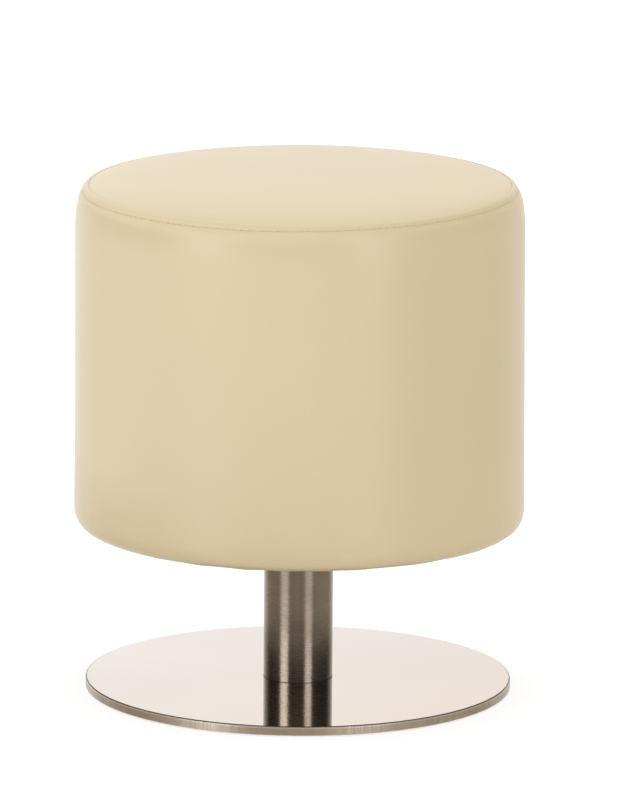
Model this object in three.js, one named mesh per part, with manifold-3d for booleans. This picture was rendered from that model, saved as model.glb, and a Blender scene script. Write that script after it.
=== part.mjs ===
// A low swivel stool: an upholstered drum seat that turns on a short steel column,
// which stands on a polished round base plate. Millimetres, +Z up.
// The origin is the centre of the stool on the floor.
import * as THREE from 'three';
import { mergeVertices } from 'three/addons/utils/BufferGeometryUtils.js';
import Module from 'manifold-3d';

const wasm = await Module();
wasm.setup();

// Driving sizes of the whole stool
const drumRadius = 195;
const drumHeight = 302; // underside of the drum to its top seam
const crownHeight = 4; // rise of the top panel over its seam
const baseRadius = 185;
const baseThickness = 8;
const columnRadius = 30;
const columnWall = 2;
const columnLength = 116;

// Gaps and overruns
const fitGap = 0.3; // between pieces that are fitted, pressed or wrapped
const runningGap = 0.3; // between pieces that turn past each other
const cutOverrun = 2; // a cutter runs this far past the faces that it opens

// Base plate and the rubber ring in its underside
const plateEdgeRound = 1.2;
const plateEdgeChamfer = 0.5;
const plateBoreRadius = 10;
const ringGrooveInner = 172;
const ringGrooveOuter = 178;
const ringGrooveDepth = 2;
const ringProud = 1; // the ring lifts the plate this far off the floor

// Disc in the foot of the column, screwed down from under the plate
const footThickness = 10;
const footChamfer = 1;
const footSpigotDepth = 3;
const footScrewCircle = 20; // radius that the screws stand on
const footScrewCount = 4;
const footScrewRadius = 4;
const footScrewHeadRadius = 8;
const footScrewRim = 0.6;
const footScrewLength = 16;
const footScrewRecess = 0.3;
const footScrewSocketFlats = 5;
const footScrewSocketDepth = 2.5;
const screwTipChamfer = 0.6;
const coneGap = fitGap * Math.SQRT2; // sideways gap that leaves fitGap along a 45 degree cone

// Bearing housing in the top of the column
const flangeThickness = 3;
const flangeChamfer = 0.6;
const housingDepth = 57; // below the top of the tube
const housingUpperLand = 15;
const housingLowerLand = 14;
const housingWaistWall = 8.7;
const housingShoulder = 1.8; // step that stops a bush in its seat
const raceSeatDepth = 4.3; // below the top of the flange

// Bushes, thrust bearing and spindle
const spindleRadius = 12.5;
const bushWall = 2.2;
const bushLength = 18;
const bushFlangeThickness = 1.5;
const bushFlangeWidth = 3;
const raceInnerRadius = 13.3;
const raceOuterRadius = 21;
const raceThickness = 3.4;
const raceFloor = 2.45; // steel left under the groove
const ballRadius = 2.75;
const ballCount = 12;
const cageThickness = 1.8;
const cageLand = 0.9; // metal between a ball's pocket and the cage's rim
const collarThickness = 4;
const collarChamfer = 0.8;
const skirtRoom = 3; // round the races, inside the collar's skirt
const skirtWall = 4;
const skirtLift = 1; // over the housing's flange
const spindleTipLand = 3.5; // below the circlip
const spindleTipChamfer = 1;
const circlipGrooveDepth = 1.1;
const circlipThickness = 1.2;
const circlipWidth = 3.8;
const circlipMouthAngle = Math.PI / 4;
const circlipSideGap = 0.2;
const spindleWasherThickness = 1.5;
const spindleWasherWidth = 7.2;

// Pressed plate under the drum
const seatPlateWidth = 180;
const seatPlateThickness = 4;
const seatPlateCorner = 20;
const seatPlateBend = 3;
const seatPlateLip = 7; // depth of the turned-down edge below the plate
const seatBoltCount = 4;
const seatBoltPitch = 140; // sides of the square that the bolts stand on
const seatBoltRadius = 4;
const seatBoltHoleRadius = 4.5;
const seatBoltLength = 25;
const seatBoltHeadHeight = 5.5;
const seatBoltHeadFlats = 13;
const seatWasherRadius = 8;
const seatWasherThickness = 1.6;
const teeNutWall = 0.9;
const teeNutBarrel = 10.5; // below the board's top face
const teeNutFlangeRadius = 11;
const teeNutFlangeThickness = 1.5;

// Drum: boards, battens, wall, padding and covers
const dustCoverLap = 15; // over the turned-in leatherette
const dustCoverThickness = 0.7;
const bottomBoardThickness = 15;
const topBoardThickness = 12;
const topBoardDrop = 38; // top face of the upper board below the seam
const battenCount = 6;
const battenWidth = 40;
const battenDepth = 18;
const sidePaddingThickness = 8;
const drumWallThickness = 3;
const coverThickness = 1.2;
const hemWidth = 35; // leatherette turned in under the drum
const footRollReach = 10; // how far the lower edge of the drum draws in
const footRollRise = 24; // over this height
const shoulderReach = 15; // the ellipse that the shoulder follows, outwards
const shoulderDraw = 7; // how far the shoulder has drawn in at the seam
const seamAllowance = 7; // folded edge below the seam, held by the topstitching
const seamRidge = 0.6; // how far the folded band stands proud
const crownPower = 6; // a higher power gives a flatter top with a tighter edge

// Numbers of sides and steps
const drumSides = 56;
const baseSides = 64;
const columnSides = 36;
const spindleSides = 28;
const raceSides = 28;
const fastenerSides = 12;
const pocketSides = 10;
const hexagonSides = 6;
const bendSteps = 2;
const cornerSteps = 4;
const rollSteps = 3;
const shoulderSteps = 3;
const edgeSteps = 3;
const grooveSteps = 4;
const crownRadiusShares = [0.98, 0.92, 0.8, 0.55];
const liningRadiusShares = [0.92, 0.8, 0.55];

// Heights from the floor, worked up the stack
const plateBottom = ringProud;
const plateTop = plateBottom + baseThickness;
const columnTop = plateTop + columnLength;
const flangeTop = columnTop + flangeThickness;
const raceSeat = flangeTop - raceSeatDepth;
const ballCentre = raceSeat + raceFloor + runningGap + ballRadius;
const collarBottom = ballCentre + ballRadius + runningGap + raceFloor;
const seatPlateBottom = collarBottom + collarThickness;
const seatPlateTop = seatPlateBottom + seatPlateThickness;
const dustCoverBottom = seatPlateTop + fitGap;
const drumBottom = dustCoverBottom + dustCoverThickness + fitGap;
const bottomBoardBottom = drumBottom + coverThickness + fitGap;
const bottomBoardTop = bottomBoardBottom + bottomBoardThickness;
const seamHeight = drumBottom + drumHeight;
const topBoardTop = seamHeight - topBoardDrop;

// Radii that follow from the sizes above
const tubeInnerRadius = columnRadius - columnWall;
const landRadius = tubeInnerRadius - fitGap;
const bushInnerRadius = spindleRadius + runningGap;
const bushOuterRadius = bushInnerRadius + bushWall;
const bushSeatRadius = bushOuterRadius + fitGap;
const ballPitchRadius = (raceInnerRadius + raceOuterRadius) / 2;
const skirtInnerRadius = raceOuterRadius + skirtRoom;
const collarRadius = skirtInnerRadius + skirtWall;
const drumWallOuter = drumRadius - coverThickness - fitGap - sidePaddingThickness - fitGap;
const drumWallInner = drumWallOuter - drumWallThickness;
const boardRadius = drumWallInner - fitGap;

// The drum's outline, as two elliptical arcs joined by its straight side
const footRollRadius = drumRadius - footRollReach;
const hemInnerRadius = footRollRadius - hemWidth;
const dustCoverRadius = hemInnerRadius + dustCoverLap;
const shoulderRadius = drumRadius - shoulderReach;
const seamAngle = Math.acos((shoulderReach - shoulderDraw) / shoulderReach);
const shoulderRise = topBoardDrop / Math.sin(seamAngle);
const allowanceAngle = Math.asin((topBoardDrop - seamAllowance) / shoulderRise);
const foldThickness = 2 * coverThickness;
const lipInset = foldThickness + fitGap;
const quarterTurn = Math.PI / 2;

const steel = { metalness: 1, roughness: 0.35 };
const materials = {
  leatherette: material(0xe4d3b4, 0, 0.55),
  polished: material(0xd8d4ce, 1, 0.05),
  brushed: material(0xb5ac9e, steel.metalness, steel.roughness),
  machined: material(0x8e8b86, steel.metalness, steel.roughness),
  zinc: material(0xa9adb0, steel.metalness, steel.roughness),
  bronze: material(0xa98a58, steel.metalness, steel.roughness),
  blackPaint: material(0x1f1f20, 0, 0.5),
  rubber: material(0x1a1a1a, 0, 0.9),
  blackCloth: material(0x222224, 0, 0.95),
  plywood: material(0xc49a6c, 0, 0.7),
  hardboard: material(0x7a5a3c, 0, 0.8),
  foam: material(0xe8dfa8, 0, 0.9),
};

function material(color, metalness, roughness) {
  return new THREE.MeshStandardMaterial({ color, metalness, roughness });
}

// A closed solid from any closed geometry
function solidFrom(geometry) {
  const bare = geometry.clone();
  bare.deleteAttribute('normal');
  bare.deleteAttribute('uv');
  const merged = mergeVertices(bare);
  const triangles = [];
  for (let i = 0; i < merged.index.count; i += 3) {
    const [a, b, c] = merged.index.array.slice(i, i + 3);
    if (a !== b && b !== c && c !== a) triangles.push(a, b, c);
  }
  const mesh = new wasm.Mesh({
    numProp: 3,
    vertProperties: Float32Array.from(merged.attributes.position.array),
    triVerts: Uint32Array.from(triangles),
  });
  return new wasm.Manifold(mesh);
}

// The geometry of a solid
function geometryFrom(solid) {
  const { vertProperties, triVerts } = solid.getMesh();
  const geometry = new THREE.BufferGeometry();
  geometry.setAttribute('position', new THREE.BufferAttribute(vertProperties, 3));
  geometry.setIndex(new THREE.BufferAttribute(triVerts, 1));
  geometry.computeVertexNormals();
  return geometry;
}

// A solid turned about +Z from a profile of [radius, height] points, counter-clockwise
function turned(profile, sides) {
  const onAxis = profile[0][0] === 0;
  const points = onAxis ? profile : [...profile, profile[0]];
  const lathe = new THREE.LatheGeometry(points.map(([r, z]) => new THREE.Vector2(r, z)), sides);
  return solidFrom(lathe.rotateX(quarterTurn));
}

function tube(innerRadius, outerRadius, bottom, top, sides) {
  const walls = [[innerRadius, bottom], [outerRadius, bottom], [outerRadius, top], [innerRadius, top]];
  return turned(walls, sides);
}

function rod(radius, bottom, top, sides) {
  return turned([[0, bottom], [radius, bottom], [radius, top], [0, top]], sides);
}

// A regular prism of six sides, given across its flats
function hexagon(flats, bottom, top) {
  return rod(flats / 2 / Math.cos(Math.PI / hexagonSides), bottom, top, hexagonSides);
}

// A prism from a flat outline, standing on the given height
function extruded(shape, bottom, height, bevel = 0) {
  const geometry = new THREE.ExtrudeGeometry(shape, {
    depth: height - 2 * bevel,
    bevelEnabled: bevel > 0,
    bevelThickness: bevel,
    bevelSize: bevel,
    bevelOffset: -bevel,
    bevelSegments: bendSteps,
    curveSegments: cornerSteps,
  });
  return solidFrom(geometry.translate(0, 0, bottom + bevel));
}

// Points on an elliptical arc in the turning plane
function arc(radius, height, reach, rise, from, to, steps) {
  const points = [];
  for (let step = 0; step <= steps; step += 1) {
    const angle = from + ((to - from) * step) / steps;
    points.push([radius + reach * Math.cos(angle), height + rise * Math.sin(angle)]);
  }
  return points;
}

// Places on a circle, evenly spaced, as [x, y, angle]
function placesOnCircle(radius, count, start = 0) {
  return Array.from({ length: count }, (_, i) => {
    const angle = start + (2 * Math.PI * i) / count;
    return [radius * Math.cos(angle), radius * Math.sin(angle), angle];
  });
}

// The solid with a copy of the cutter taken out at each place
function drilled(solid, cutter, places) {
  return places.reduce((left, [x, y]) => left.subtract(cutter.translate([x, y, 0])), solid);
}

// A named mesh, lifted to its height
function piece(name, solid, surface, height = 0) {
  const mesh = new THREE.Mesh(geometryFrom(solid), surface);
  mesh.name = name;
  mesh.position.z = height;
  return mesh;
}

// One mesh at each place, numbered from 1
function pieces(name, solid, surface, places, height) {
  return places.map(([x, y, angle], i) => {
    const mesh = piece(`${name}_${i + 1}`, solid, surface, height);
    mesh.position.set(x, y, height);
    mesh.rotation.z = angle;
    return mesh;
  });
}

const footScrewPlaces = placesOnCircle(footScrewCircle, footScrewCount, quarterTurn / 2);
const seatBoltPlaces = placesOnCircle(seatBoltPitch * Math.SQRT1_2, seatBoltCount, quarterTurn / 2);

// Base plate, from its underside
function basePlate() {
  const edgeCentre = [baseRadius - plateEdgeRound, baseThickness - plateEdgeRound];
  const plate = turned([
    [plateBoreRadius, 0],
    [ringGrooveInner, 0],
    [ringGrooveInner, ringGrooveDepth],
    [ringGrooveOuter, ringGrooveDepth],
    [ringGrooveOuter, 0],
    [baseRadius - plateEdgeChamfer, 0],
    [baseRadius, plateEdgeChamfer],
    ...arc(...edgeCentre, plateEdgeRound, plateEdgeRound, 0, quarterTurn, edgeSteps),
    [plateBoreRadius, baseThickness],
  ], baseSides);
  const headRadius = footScrewHeadRadius + coneGap;
  const holeRadius = footScrewRadius + fitGap;
  const coneStart = footScrewRecess + footScrewRim;
  const countersink = turned([
    [0, -cutOverrun],
    [headRadius, -cutOverrun],
    [headRadius, coneStart],
    [holeRadius, coneStart + headRadius - holeRadius],
    [holeRadius, baseThickness + cutOverrun],
    [0, baseThickness + cutOverrun],
  ], fastenerSides);
  return drilled(plate, countersink, footScrewPlaces);
}

// Rubber ring, from the floor up to the ceiling of its groove
function floorRing() {
  const height = ringProud + ringGrooveDepth;
  return tube(ringGrooveInner + fitGap, ringGrooveOuter - fitGap, 0, height, baseSides);
}

function columnTube() {
  return tube(tubeInnerRadius, columnRadius, 0, columnLength, columnSides);
}

// Disc welded into the foot of the tube, with a spigot that centres it in the plate
function columnFoot() {
  const spigotRadius = plateBoreRadius - fitGap;
  const disc = turned([
    [0, -footSpigotDepth],
    [spigotRadius, -footSpigotDepth],
    [spigotRadius, 0],
    [landRadius, 0],
    [landRadius, footThickness - footChamfer],
    [landRadius - footChamfer, footThickness],
    [0, footThickness],
  ], columnSides);
  const hole = rod(footScrewRadius + fitGap, -cutOverrun, footThickness + cutOverrun, fastenerSides);
  return drilled(disc, hole, footScrewPlaces);
}

// Countersunk socket screw, head down
function footScrew() {
  const coneEnd = footScrewRim + footScrewHeadRadius - footScrewRadius;
  const body = turned([
    [0, 0],
    [footScrewHeadRadius, 0],
    [footScrewHeadRadius, footScrewRim],
    [footScrewRadius, coneEnd],
    [footScrewRadius, footScrewLength - screwTipChamfer],
    [footScrewRadius - screwTipChamfer, footScrewLength],
    [0, footScrewLength],
  ], fastenerSides);
  return body.subtract(hexagon(footScrewSocketFlats, -cutOverrun, footScrewSocketDepth));
}

// Housing that carries the bushes and the bearing, from the top of the tube
function bearingHousing() {
  const seat = flangeThickness - raceSeatDepth;
  const waistRadius = bushSeatRadius + housingWaistWall;
  const boreRadius = bushSeatRadius - housingShoulder;
  return turned([
    [bushSeatRadius, -housingDepth],
    [landRadius, -housingDepth],
    [landRadius, housingLowerLand - housingDepth],
    [waistRadius, housingLowerLand - housingDepth],
    [waistRadius, -housingUpperLand],
    [landRadius, -housingUpperLand],
    [landRadius, 0],
    [columnRadius, 0],
    [columnRadius, flangeThickness - flangeChamfer],
    [columnRadius - flangeChamfer, flangeThickness],
    [raceOuterRadius + fitGap, flangeThickness],
    [raceOuterRadius + fitGap, seat],
    [bushSeatRadius, seat],
    [bushSeatRadius, seat - bushLength],
    [boreRadius, seat - bushLength],
    [boreRadius, bushLength - housingDepth],
    [bushSeatRadius, bushLength - housingDepth],
  ], columnSides);
}

// Sleeve under the bearing, from its lower end
function upperBush() {
  return tube(bushInnerRadius, bushOuterRadius, 0, bushLength, spindleSides);
}

// Flanged sleeve in the lower end of the housing, from the housing's end face
function lowerBush() {
  const flangeRadius = bushOuterRadius + bushFlangeWidth;
  return turned([
    [bushInnerRadius, -bushFlangeThickness],
    [flangeRadius, -bushFlangeThickness],
    [flangeRadius, 0],
    [bushOuterRadius, 0],
    [bushOuterRadius, bushLength - fitGap],
    [bushInnerRadius, bushLength - fitGap],
  ], spindleSides);
}

// Grooved washer of the thrust bearing, flat face down
function bearingRace() {
  const grooveRadius = ballRadius + runningGap;
  const centre = raceFloor + grooveRadius;
  const edge = Math.asin((centre - raceThickness) / grooveRadius);
  return turned([
    [raceInnerRadius, 0],
    [raceOuterRadius, 0],
    [raceOuterRadius, raceThickness],
    ...arc(ballPitchRadius, centre, grooveRadius, grooveRadius, -edge, edge - Math.PI, grooveSteps),
    [raceInnerRadius, raceThickness],
  ], raceSides);
}

// Flat cage with a pocket for each ball
function ballCage() {
  const pocketRadius = ballRadius + runningGap;
  const reach = pocketRadius + cageLand;
  const half = cageThickness / 2;
  const ring = tube(ballPitchRadius - reach, ballPitchRadius + reach, -half, half, raceSides);
  const pocket = rod(pocketRadius, -cutOverrun, cutOverrun, pocketSides);
  return drilled(ring, pocket, placesOnCircle(ballPitchRadius, ballCount));
}

const housingBottom = columnTop - housingDepth;
const washerTop = housingBottom - bushFlangeThickness - runningGap;
const circlipTop = washerTop - spindleWasherThickness;
const circlipBottom = circlipTop - circlipThickness;
const spindleBottom = circlipBottom - spindleTipLand;

// Spindle with its collar, whose skirt hides the bearing, from under the collar
function spindle() {
  const tip = spindleBottom - collarBottom;
  const grooveRadius = spindleRadius - circlipGrooveDepth;
  const grooveLow = circlipBottom - circlipSideGap - collarBottom;
  const grooveHigh = circlipTop + circlipSideGap - collarBottom;
  const skirtBottom = flangeTop + skirtLift - collarBottom;
  return turned([
    [0, tip],
    [spindleRadius - spindleTipChamfer, tip],
    [spindleRadius, tip + spindleTipChamfer],
    [spindleRadius, grooveLow],
    [grooveRadius, grooveLow],
    [grooveRadius, grooveHigh],
    [spindleRadius, grooveHigh],
    [spindleRadius, 0],
    [skirtInnerRadius, 0],
    [skirtInnerRadius, skirtBottom],
    [collarRadius, skirtBottom],
    [collarRadius, collarThickness - collarChamfer],
    [collarRadius - collarChamfer, collarThickness],
    [0, collarThickness],
  ], spindleSides);
}

function spindleWasher() {
  const inner = spindleRadius + fitGap;
  return tube(inner, inner + spindleWasherWidth, 0, spindleWasherThickness, spindleSides);
}

// Open spring ring in the groove of the spindle
function spindleCirclip() {
  const inner = spindleRadius - circlipGrooveDepth + fitGap;
  const outer = inner + circlipWidth;
  const from = circlipMouthAngle / 2;
  const to = 2 * Math.PI - from;
  const shape = new THREE.Shape();
  shape.absarc(0, 0, outer, from, to, false);
  shape.absarc(0, 0, inner, to, from, true);
  shape.closePath();
  const geometry = new THREE.ExtrudeGeometry(shape, {
    depth: circlipThickness,
    bevelEnabled: false,
    curveSegments: spindleSides / 2,
  });
  return solidFrom(geometry);
}

// A square outline with round corners
function roundedSquare(half, corner) {
  const flat = half - corner;
  const shape = new THREE.Shape();
  shape.absarc(flat, flat, corner, 0, quarterTurn, false);
  shape.absarc(-flat, flat, corner, quarterTurn, 2 * quarterTurn, false);
  shape.absarc(-flat, -flat, corner, 2 * quarterTurn, 3 * quarterTurn, false);
  shape.absarc(flat, -flat, corner, 3 * quarterTurn, 4 * quarterTurn, false);
  shape.closePath();
  return shape;
}

// Pressed plate with turned-down edges, from its lower face
function seatPlate() {
  const half = seatPlateWidth / 2;
  const tall = seatPlateThickness + seatPlateLip + seatPlateBend;
  const blank = extruded(
    roundedSquare(half, seatPlateCorner),
    seatPlateThickness - tall,
    tall,
    seatPlateBend,
  );
  const well = roundedSquare(half - seatPlateThickness, seatPlateCorner - seatPlateThickness);
  const hollow = extruded(well, -tall, tall);
  const around = roundedSquare(seatPlateWidth, seatPlateCorner);
  const waste = extruded(around, -2 * tall, 2 * tall - seatPlateLip);
  const hole = rod(seatBoltHoleRadius, -cutOverrun, seatPlateThickness + cutOverrun, fastenerSides);
  return drilled(blank.subtract(hollow).subtract(waste), hole, seatBoltPlaces);
}

// Hexagon bolt, from under its washer, shank up
function seatBolt() {
  const shank = turned([
    [0, -seatBoltHeadHeight / 2],
    [seatBoltRadius, -seatBoltHeadHeight / 2],
    [seatBoltRadius, seatBoltLength - screwTipChamfer],
    [seatBoltRadius - screwTipChamfer, seatBoltLength],
    [0, seatBoltLength],
  ], fastenerSides);
  return hexagon(seatBoltHeadFlats, -seatBoltHeadHeight, 0).add(shank);
}

function seatWasher() {
  return tube(seatBoltHoleRadius, seatWasherRadius, 0, seatWasherThickness, fastenerSides);
}

const teeNutBoreRadius = seatBoltRadius + fitGap;
const teeNutBarrelRadius = teeNutBoreRadius + teeNutWall;
const boardHoleRadius = teeNutBarrelRadius + fitGap;

// Tee nut, from the face of the board that its flange lies on
function teeNut() {
  return turned([
    [teeNutBoreRadius, -teeNutBarrel],
    [teeNutBarrelRadius, -teeNutBarrel],
    [teeNutBarrelRadius, 0],
    [teeNutFlangeRadius, 0],
    [teeNutFlangeRadius, teeNutFlangeThickness],
    [teeNutBoreRadius, teeNutFlangeThickness],
  ], fastenerSides);
}

function dustCover() {
  const sheet = rod(dustCoverRadius, 0, dustCoverThickness, drumSides);
  const hole = rod(seatBoltHoleRadius, -cutOverrun, dustCoverThickness + cutOverrun, fastenerSides);
  return drilled(sheet, hole, seatBoltPlaces);
}

function bottomBoard() {
  const board = rod(boardRadius, 0, bottomBoardThickness, drumSides);
  const hole = rod(boardHoleRadius, -cutOverrun, bottomBoardThickness + cutOverrun, fastenerSides);
  return drilled(board, hole, seatBoltPlaces);
}

function topBoard() {
  return rod(boardRadius, 0, topBoardThickness, drumSides);
}

// Batten that stands between the boards, against the wall
const battenHeight = topBoardTop - topBoardThickness - bottomBoardTop;
const battenOuter = Math.sqrt(boardRadius ** 2 - (battenWidth / 2) ** 2) - fitGap;

function batten() {
  const box = new THREE.BoxGeometry(battenDepth, battenWidth, battenHeight);
  return solidFrom(box.translate(-battenDepth / 2, 0, battenHeight / 2));
}

function drumWall() {
  const bottom = bottomBoardBottom - drumBottom;
  return tube(drumWallInner, drumWallOuter, bottom, drumHeight - topBoardDrop, drumSides);
}

// The lower roll and the shoulder of the drum, at a depth under its surface
function footRoll(depth, from, to) {
  const steps = Math.round((Math.abs(to - from) / quarterTurn) * rollSteps);
  const [reach, rise] = [footRollReach - depth, footRollRise - depth];
  return arc(footRollRadius, footRollRise, reach, rise, from, to, steps);
}

function shoulder(depth, from, to, steps) {
  const [reach, rise] = [shoulderReach - depth, shoulderRise - depth];
  return arc(shoulderRadius, drumHeight - topBoardDrop, reach, rise, from, to, steps);
}

function shoulderPoint(depth, angle) {
  return shoulder(depth, angle, angle, 1)[0];
}

// The crowned top, from the seam inwards, at a depth under its surface
function crown(depth, edgeRadius, radiusShares) {
  return radiusShares.map((share) => {
    const rise = Math.sqrt(1 - share ** crownPower);
    return [share * edgeRadius, drumHeight + crownHeight * rise - depth];
  });
}

// Padding round the wall of the drum
function sidePadding() {
  const lining = coverThickness + fitGap;
  const inner = drumWallOuter + fitGap;
  const [low, next, ...rest] = footRoll(lining, -quarterTurn, 0);
  const slope = (next[1] - low[1]) / (next[0] - low[0]);
  return turned([
    [inner, low[1] + slope * (inner - low[0])],
    next,
    ...rest,
    [drumRadius - lining, drumHeight - topBoardDrop],
    [inner, drumHeight - topBoardDrop],
  ], drumSides);
}

// Side band: hem under the drum, lower roll, side, shoulder, and the folded edge at the seam
function sideCover() {
  const ridgeAngle = (allowanceAngle + seamAngle) / 2;
  return turned([
    [hemInnerRadius, 0],
    ...footRoll(0, -quarterTurn, 0),
    ...shoulder(0, 0, allowanceAngle, shoulderSteps),
    shoulderPoint(-seamRidge, ridgeAngle),
    shoulderPoint(0, seamAngle),
    ...shoulder(foldThickness, seamAngle, allowanceAngle, 1),
    ...shoulder(coverThickness, allowanceAngle, 0, shoulderSteps),
    ...footRoll(coverThickness, 0, -quarterTurn),
    [hemInnerRadius, coverThickness],
  ], drumSides);
}

const topEdge = shoulderPoint(lipInset, seamAngle);
const lipTip = shoulderPoint(lipInset, allowanceAngle);

// Top panel: a crowned disc whose edge is turned down inside the side band
function topCover() {
  const [edgeRadius, edgeHeight] = topEdge;
  const [tipRadius, tipHeight] = lipTip;
  return turned([
    [0, drumHeight + crownHeight - coverThickness],
    ...crown(coverThickness, edgeRadius, liningRadiusShares).reverse(),
    [edgeRadius - coverThickness, edgeHeight - coverThickness],
    [tipRadius - coverThickness, tipHeight],
    [tipRadius, tipHeight],
    [edgeRadius, edgeHeight],
    [edgeRadius, drumHeight],
    ...crown(0, edgeRadius, crownRadiusShares),
    [0, drumHeight + crownHeight],
  ], drumSides);
}

// Crowned seat padding, drawn in at the seam to clear the folded and turned-down edges
function topPadding() {
  const lining = coverThickness + fitGap;
  const bottom = drumHeight - topBoardDrop + fitGap;
  const foldDrop = (shoulderRise - foldThickness) * Math.sin(allowanceAngle) - fitGap;
  const clearAngle = Math.asin(foldDrop / (shoulderRise - lining));
  const [clearRadius, clearHeight] = shoulderPoint(lining, clearAngle);
  const [tipRadius] = lipTip;
  const [edgeRadius, edgeHeight] = topEdge;
  return turned([
    [0, bottom],
    [drumRadius - lining, bottom],
    ...shoulder(lining, 0, allowanceAngle, shoulderSteps).slice(1, -1),
    [clearRadius, clearHeight],
    [tipRadius - lining, clearHeight],
    [edgeRadius - lining, edgeHeight - lining],
    ...crown(lining, edgeRadius, liningRadiusShares),
    [0, drumHeight + crownHeight - lining],
  ], drumSides);
}

// Base: everything that stays still
const base = new THREE.Group();
base.add(
  piece('base_plate', basePlate(), materials.polished, plateBottom),
  piece('floor_ring', floorRing(), materials.rubber),
  piece('column_tube', columnTube(), materials.brushed, plateTop),
  piece('column_foot', columnFoot(), materials.machined, plateTop),
  ...pieces('foot_screw', footScrew(), materials.zinc, footScrewPlaces, plateBottom + footScrewRecess),
  piece('bearing_housing', bearingHousing(), materials.machined, columnTop),
  piece('upper_bush', upperBush(), materials.bronze, raceSeat - bushLength),
  piece('lower_bush', lowerBush(), materials.bronze, housingBottom),
  piece('lower_race', bearingRace(), materials.machined, raceSeat),
);

// Bearing cage and its balls, which roll round at half the speed of the seat
const cage = new THREE.Group();
const ballPlaces = placesOnCircle(ballPitchRadius, ballCount);
const ball = solidFrom(new THREE.IcosahedronGeometry(ballRadius, 1));
cage.add(
  piece('ball_cage', ballCage(), materials.bronze, ballCentre),
  ...pieces('bearing_ball', ball, materials.zinc, ballPlaces, ballCentre),
);

// Seat: everything that turns with the drum
const upperRace = piece('upper_race', bearingRace(), materials.machined, collarBottom);
upperRace.rotation.x = Math.PI;
const mechanism = new THREE.Group();
const washerBottom = seatPlateBottom - seatWasherThickness;
mechanism.add(
  upperRace,
  piece('spindle', spindle(), materials.machined, collarBottom),
  piece('spindle_washer', spindleWasher(), materials.zinc, circlipTop),
  piece('spindle_circlip', spindleCirclip(), materials.zinc, circlipBottom),
  piece('seat_plate', seatPlate(), materials.blackPaint, seatPlateBottom),
  ...pieces('seat_washer', seatWasher(), materials.zinc, seatBoltPlaces, washerBottom),
  ...pieces('seat_bolt', seatBolt(), materials.zinc, seatBoltPlaces, washerBottom),
  ...pieces('tee_nut', teeNut(), materials.zinc, seatBoltPlaces, bottomBoardTop),
);

const battenPlaces = placesOnCircle(battenOuter, battenCount);
const drum = new THREE.Group();
drum.add(
  piece('dust_cover', dustCover(), materials.blackCloth, dustCoverBottom),
  piece('bottom_board', bottomBoard(), materials.plywood, bottomBoardBottom),
  ...pieces('upright_batten', batten(), materials.plywood, battenPlaces, bottomBoardTop),
  piece('top_board', topBoard(), materials.plywood, topBoardTop - topBoardThickness),
  piece('drum_wall', drumWall(), materials.hardboard, drumBottom),
  piece('side_padding', sidePadding(), materials.foam, drumBottom),
  piece('top_padding', topPadding(), materials.foam, drumBottom),
  piece('side_cover', sideCover(), materials.leatherette, drumBottom),
  piece('top_cover', topCover(), materials.leatherette, drumBottom),
);

const stool = new THREE.Group();
stool.add(base, cage, mechanism, drum);

export default stool;
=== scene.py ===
import math

import bmesh
import bpy
import numpy as np
from mathutils import Matrix, Vector


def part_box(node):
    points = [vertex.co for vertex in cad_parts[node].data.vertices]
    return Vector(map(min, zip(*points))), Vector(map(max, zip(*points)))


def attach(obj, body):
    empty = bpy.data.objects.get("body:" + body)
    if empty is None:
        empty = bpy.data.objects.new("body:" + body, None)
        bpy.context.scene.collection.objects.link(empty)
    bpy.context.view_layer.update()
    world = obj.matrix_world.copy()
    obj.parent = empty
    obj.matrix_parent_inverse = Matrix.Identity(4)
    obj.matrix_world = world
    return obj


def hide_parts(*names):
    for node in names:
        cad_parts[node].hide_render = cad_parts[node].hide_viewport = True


# Looks of the swivel drum stool, in metres, +Z up, the centre of the base on the floor at the origin.
# Sheet goods and padding are shaped here; the steel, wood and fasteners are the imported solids.
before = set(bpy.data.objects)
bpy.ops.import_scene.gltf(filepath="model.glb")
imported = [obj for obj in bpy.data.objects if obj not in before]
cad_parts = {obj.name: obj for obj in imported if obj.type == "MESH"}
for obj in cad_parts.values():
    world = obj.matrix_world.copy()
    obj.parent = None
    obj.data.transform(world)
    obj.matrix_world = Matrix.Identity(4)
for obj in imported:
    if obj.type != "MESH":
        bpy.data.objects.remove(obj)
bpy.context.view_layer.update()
scene = bpy.context.scene
mm = 0.001
print("frame loaded:", len(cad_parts), "nodes")


def linear(red, green, blue):  # a screen colour, 0-255, as the renderer wants it
    channels = [c / 255 for c in (red, green, blue)]
    return tuple(c / 12.92 if c < 0.04045 else ((c + 0.055) / 1.055) ** 2.4 for c in channels) + (1.0,)


# Camera, fitted to the rims, seam and column of the photograph
cameraLook = {
    "distance": 8.0,
    "height": 1.9732,
    "pitch": 0.2117,
    "roll": 0.0077,
    "yaw": 0.0012,
    "lens": 424.72,
    "sensor": 36.0,
    "farthest": 60,
}


def buildCamera():
    data = bpy.data.cameras.new("photoCamera")
    data.sensor_width = cameraLook["sensor"]
    data.lens = cameraLook["lens"]
    data.clip_end = cameraLook["farthest"]
    camera = addObject("photoCamera", data)
    turn = (
        Matrix.Rotation(-cameraLook["yaw"], 4, "Z")
        @ Matrix.Rotation(math.pi / 2 - cameraLook["pitch"], 4, "X")
        @ Matrix.Rotation(cameraLook["roll"], 4, "Z")
    )
    place = Matrix.Translation((0, -cameraLook["distance"], cameraLook["height"]))
    camera.matrix_world = place @ turn
    scene.camera = camera


# Small helpers for node trees
def addNode(tree, kind, inputs=None, **settings):
    node = tree.nodes.new(kind)
    for name, value in settings.items():
        setattr(node, name, value)
    for name, value in (inputs or {}).items():
        if isinstance(value, bpy.types.NodeSocket):
            tree.links.new(value, node.inputs[name])
        else:
            node.inputs[name].default_value = value
    return node


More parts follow.
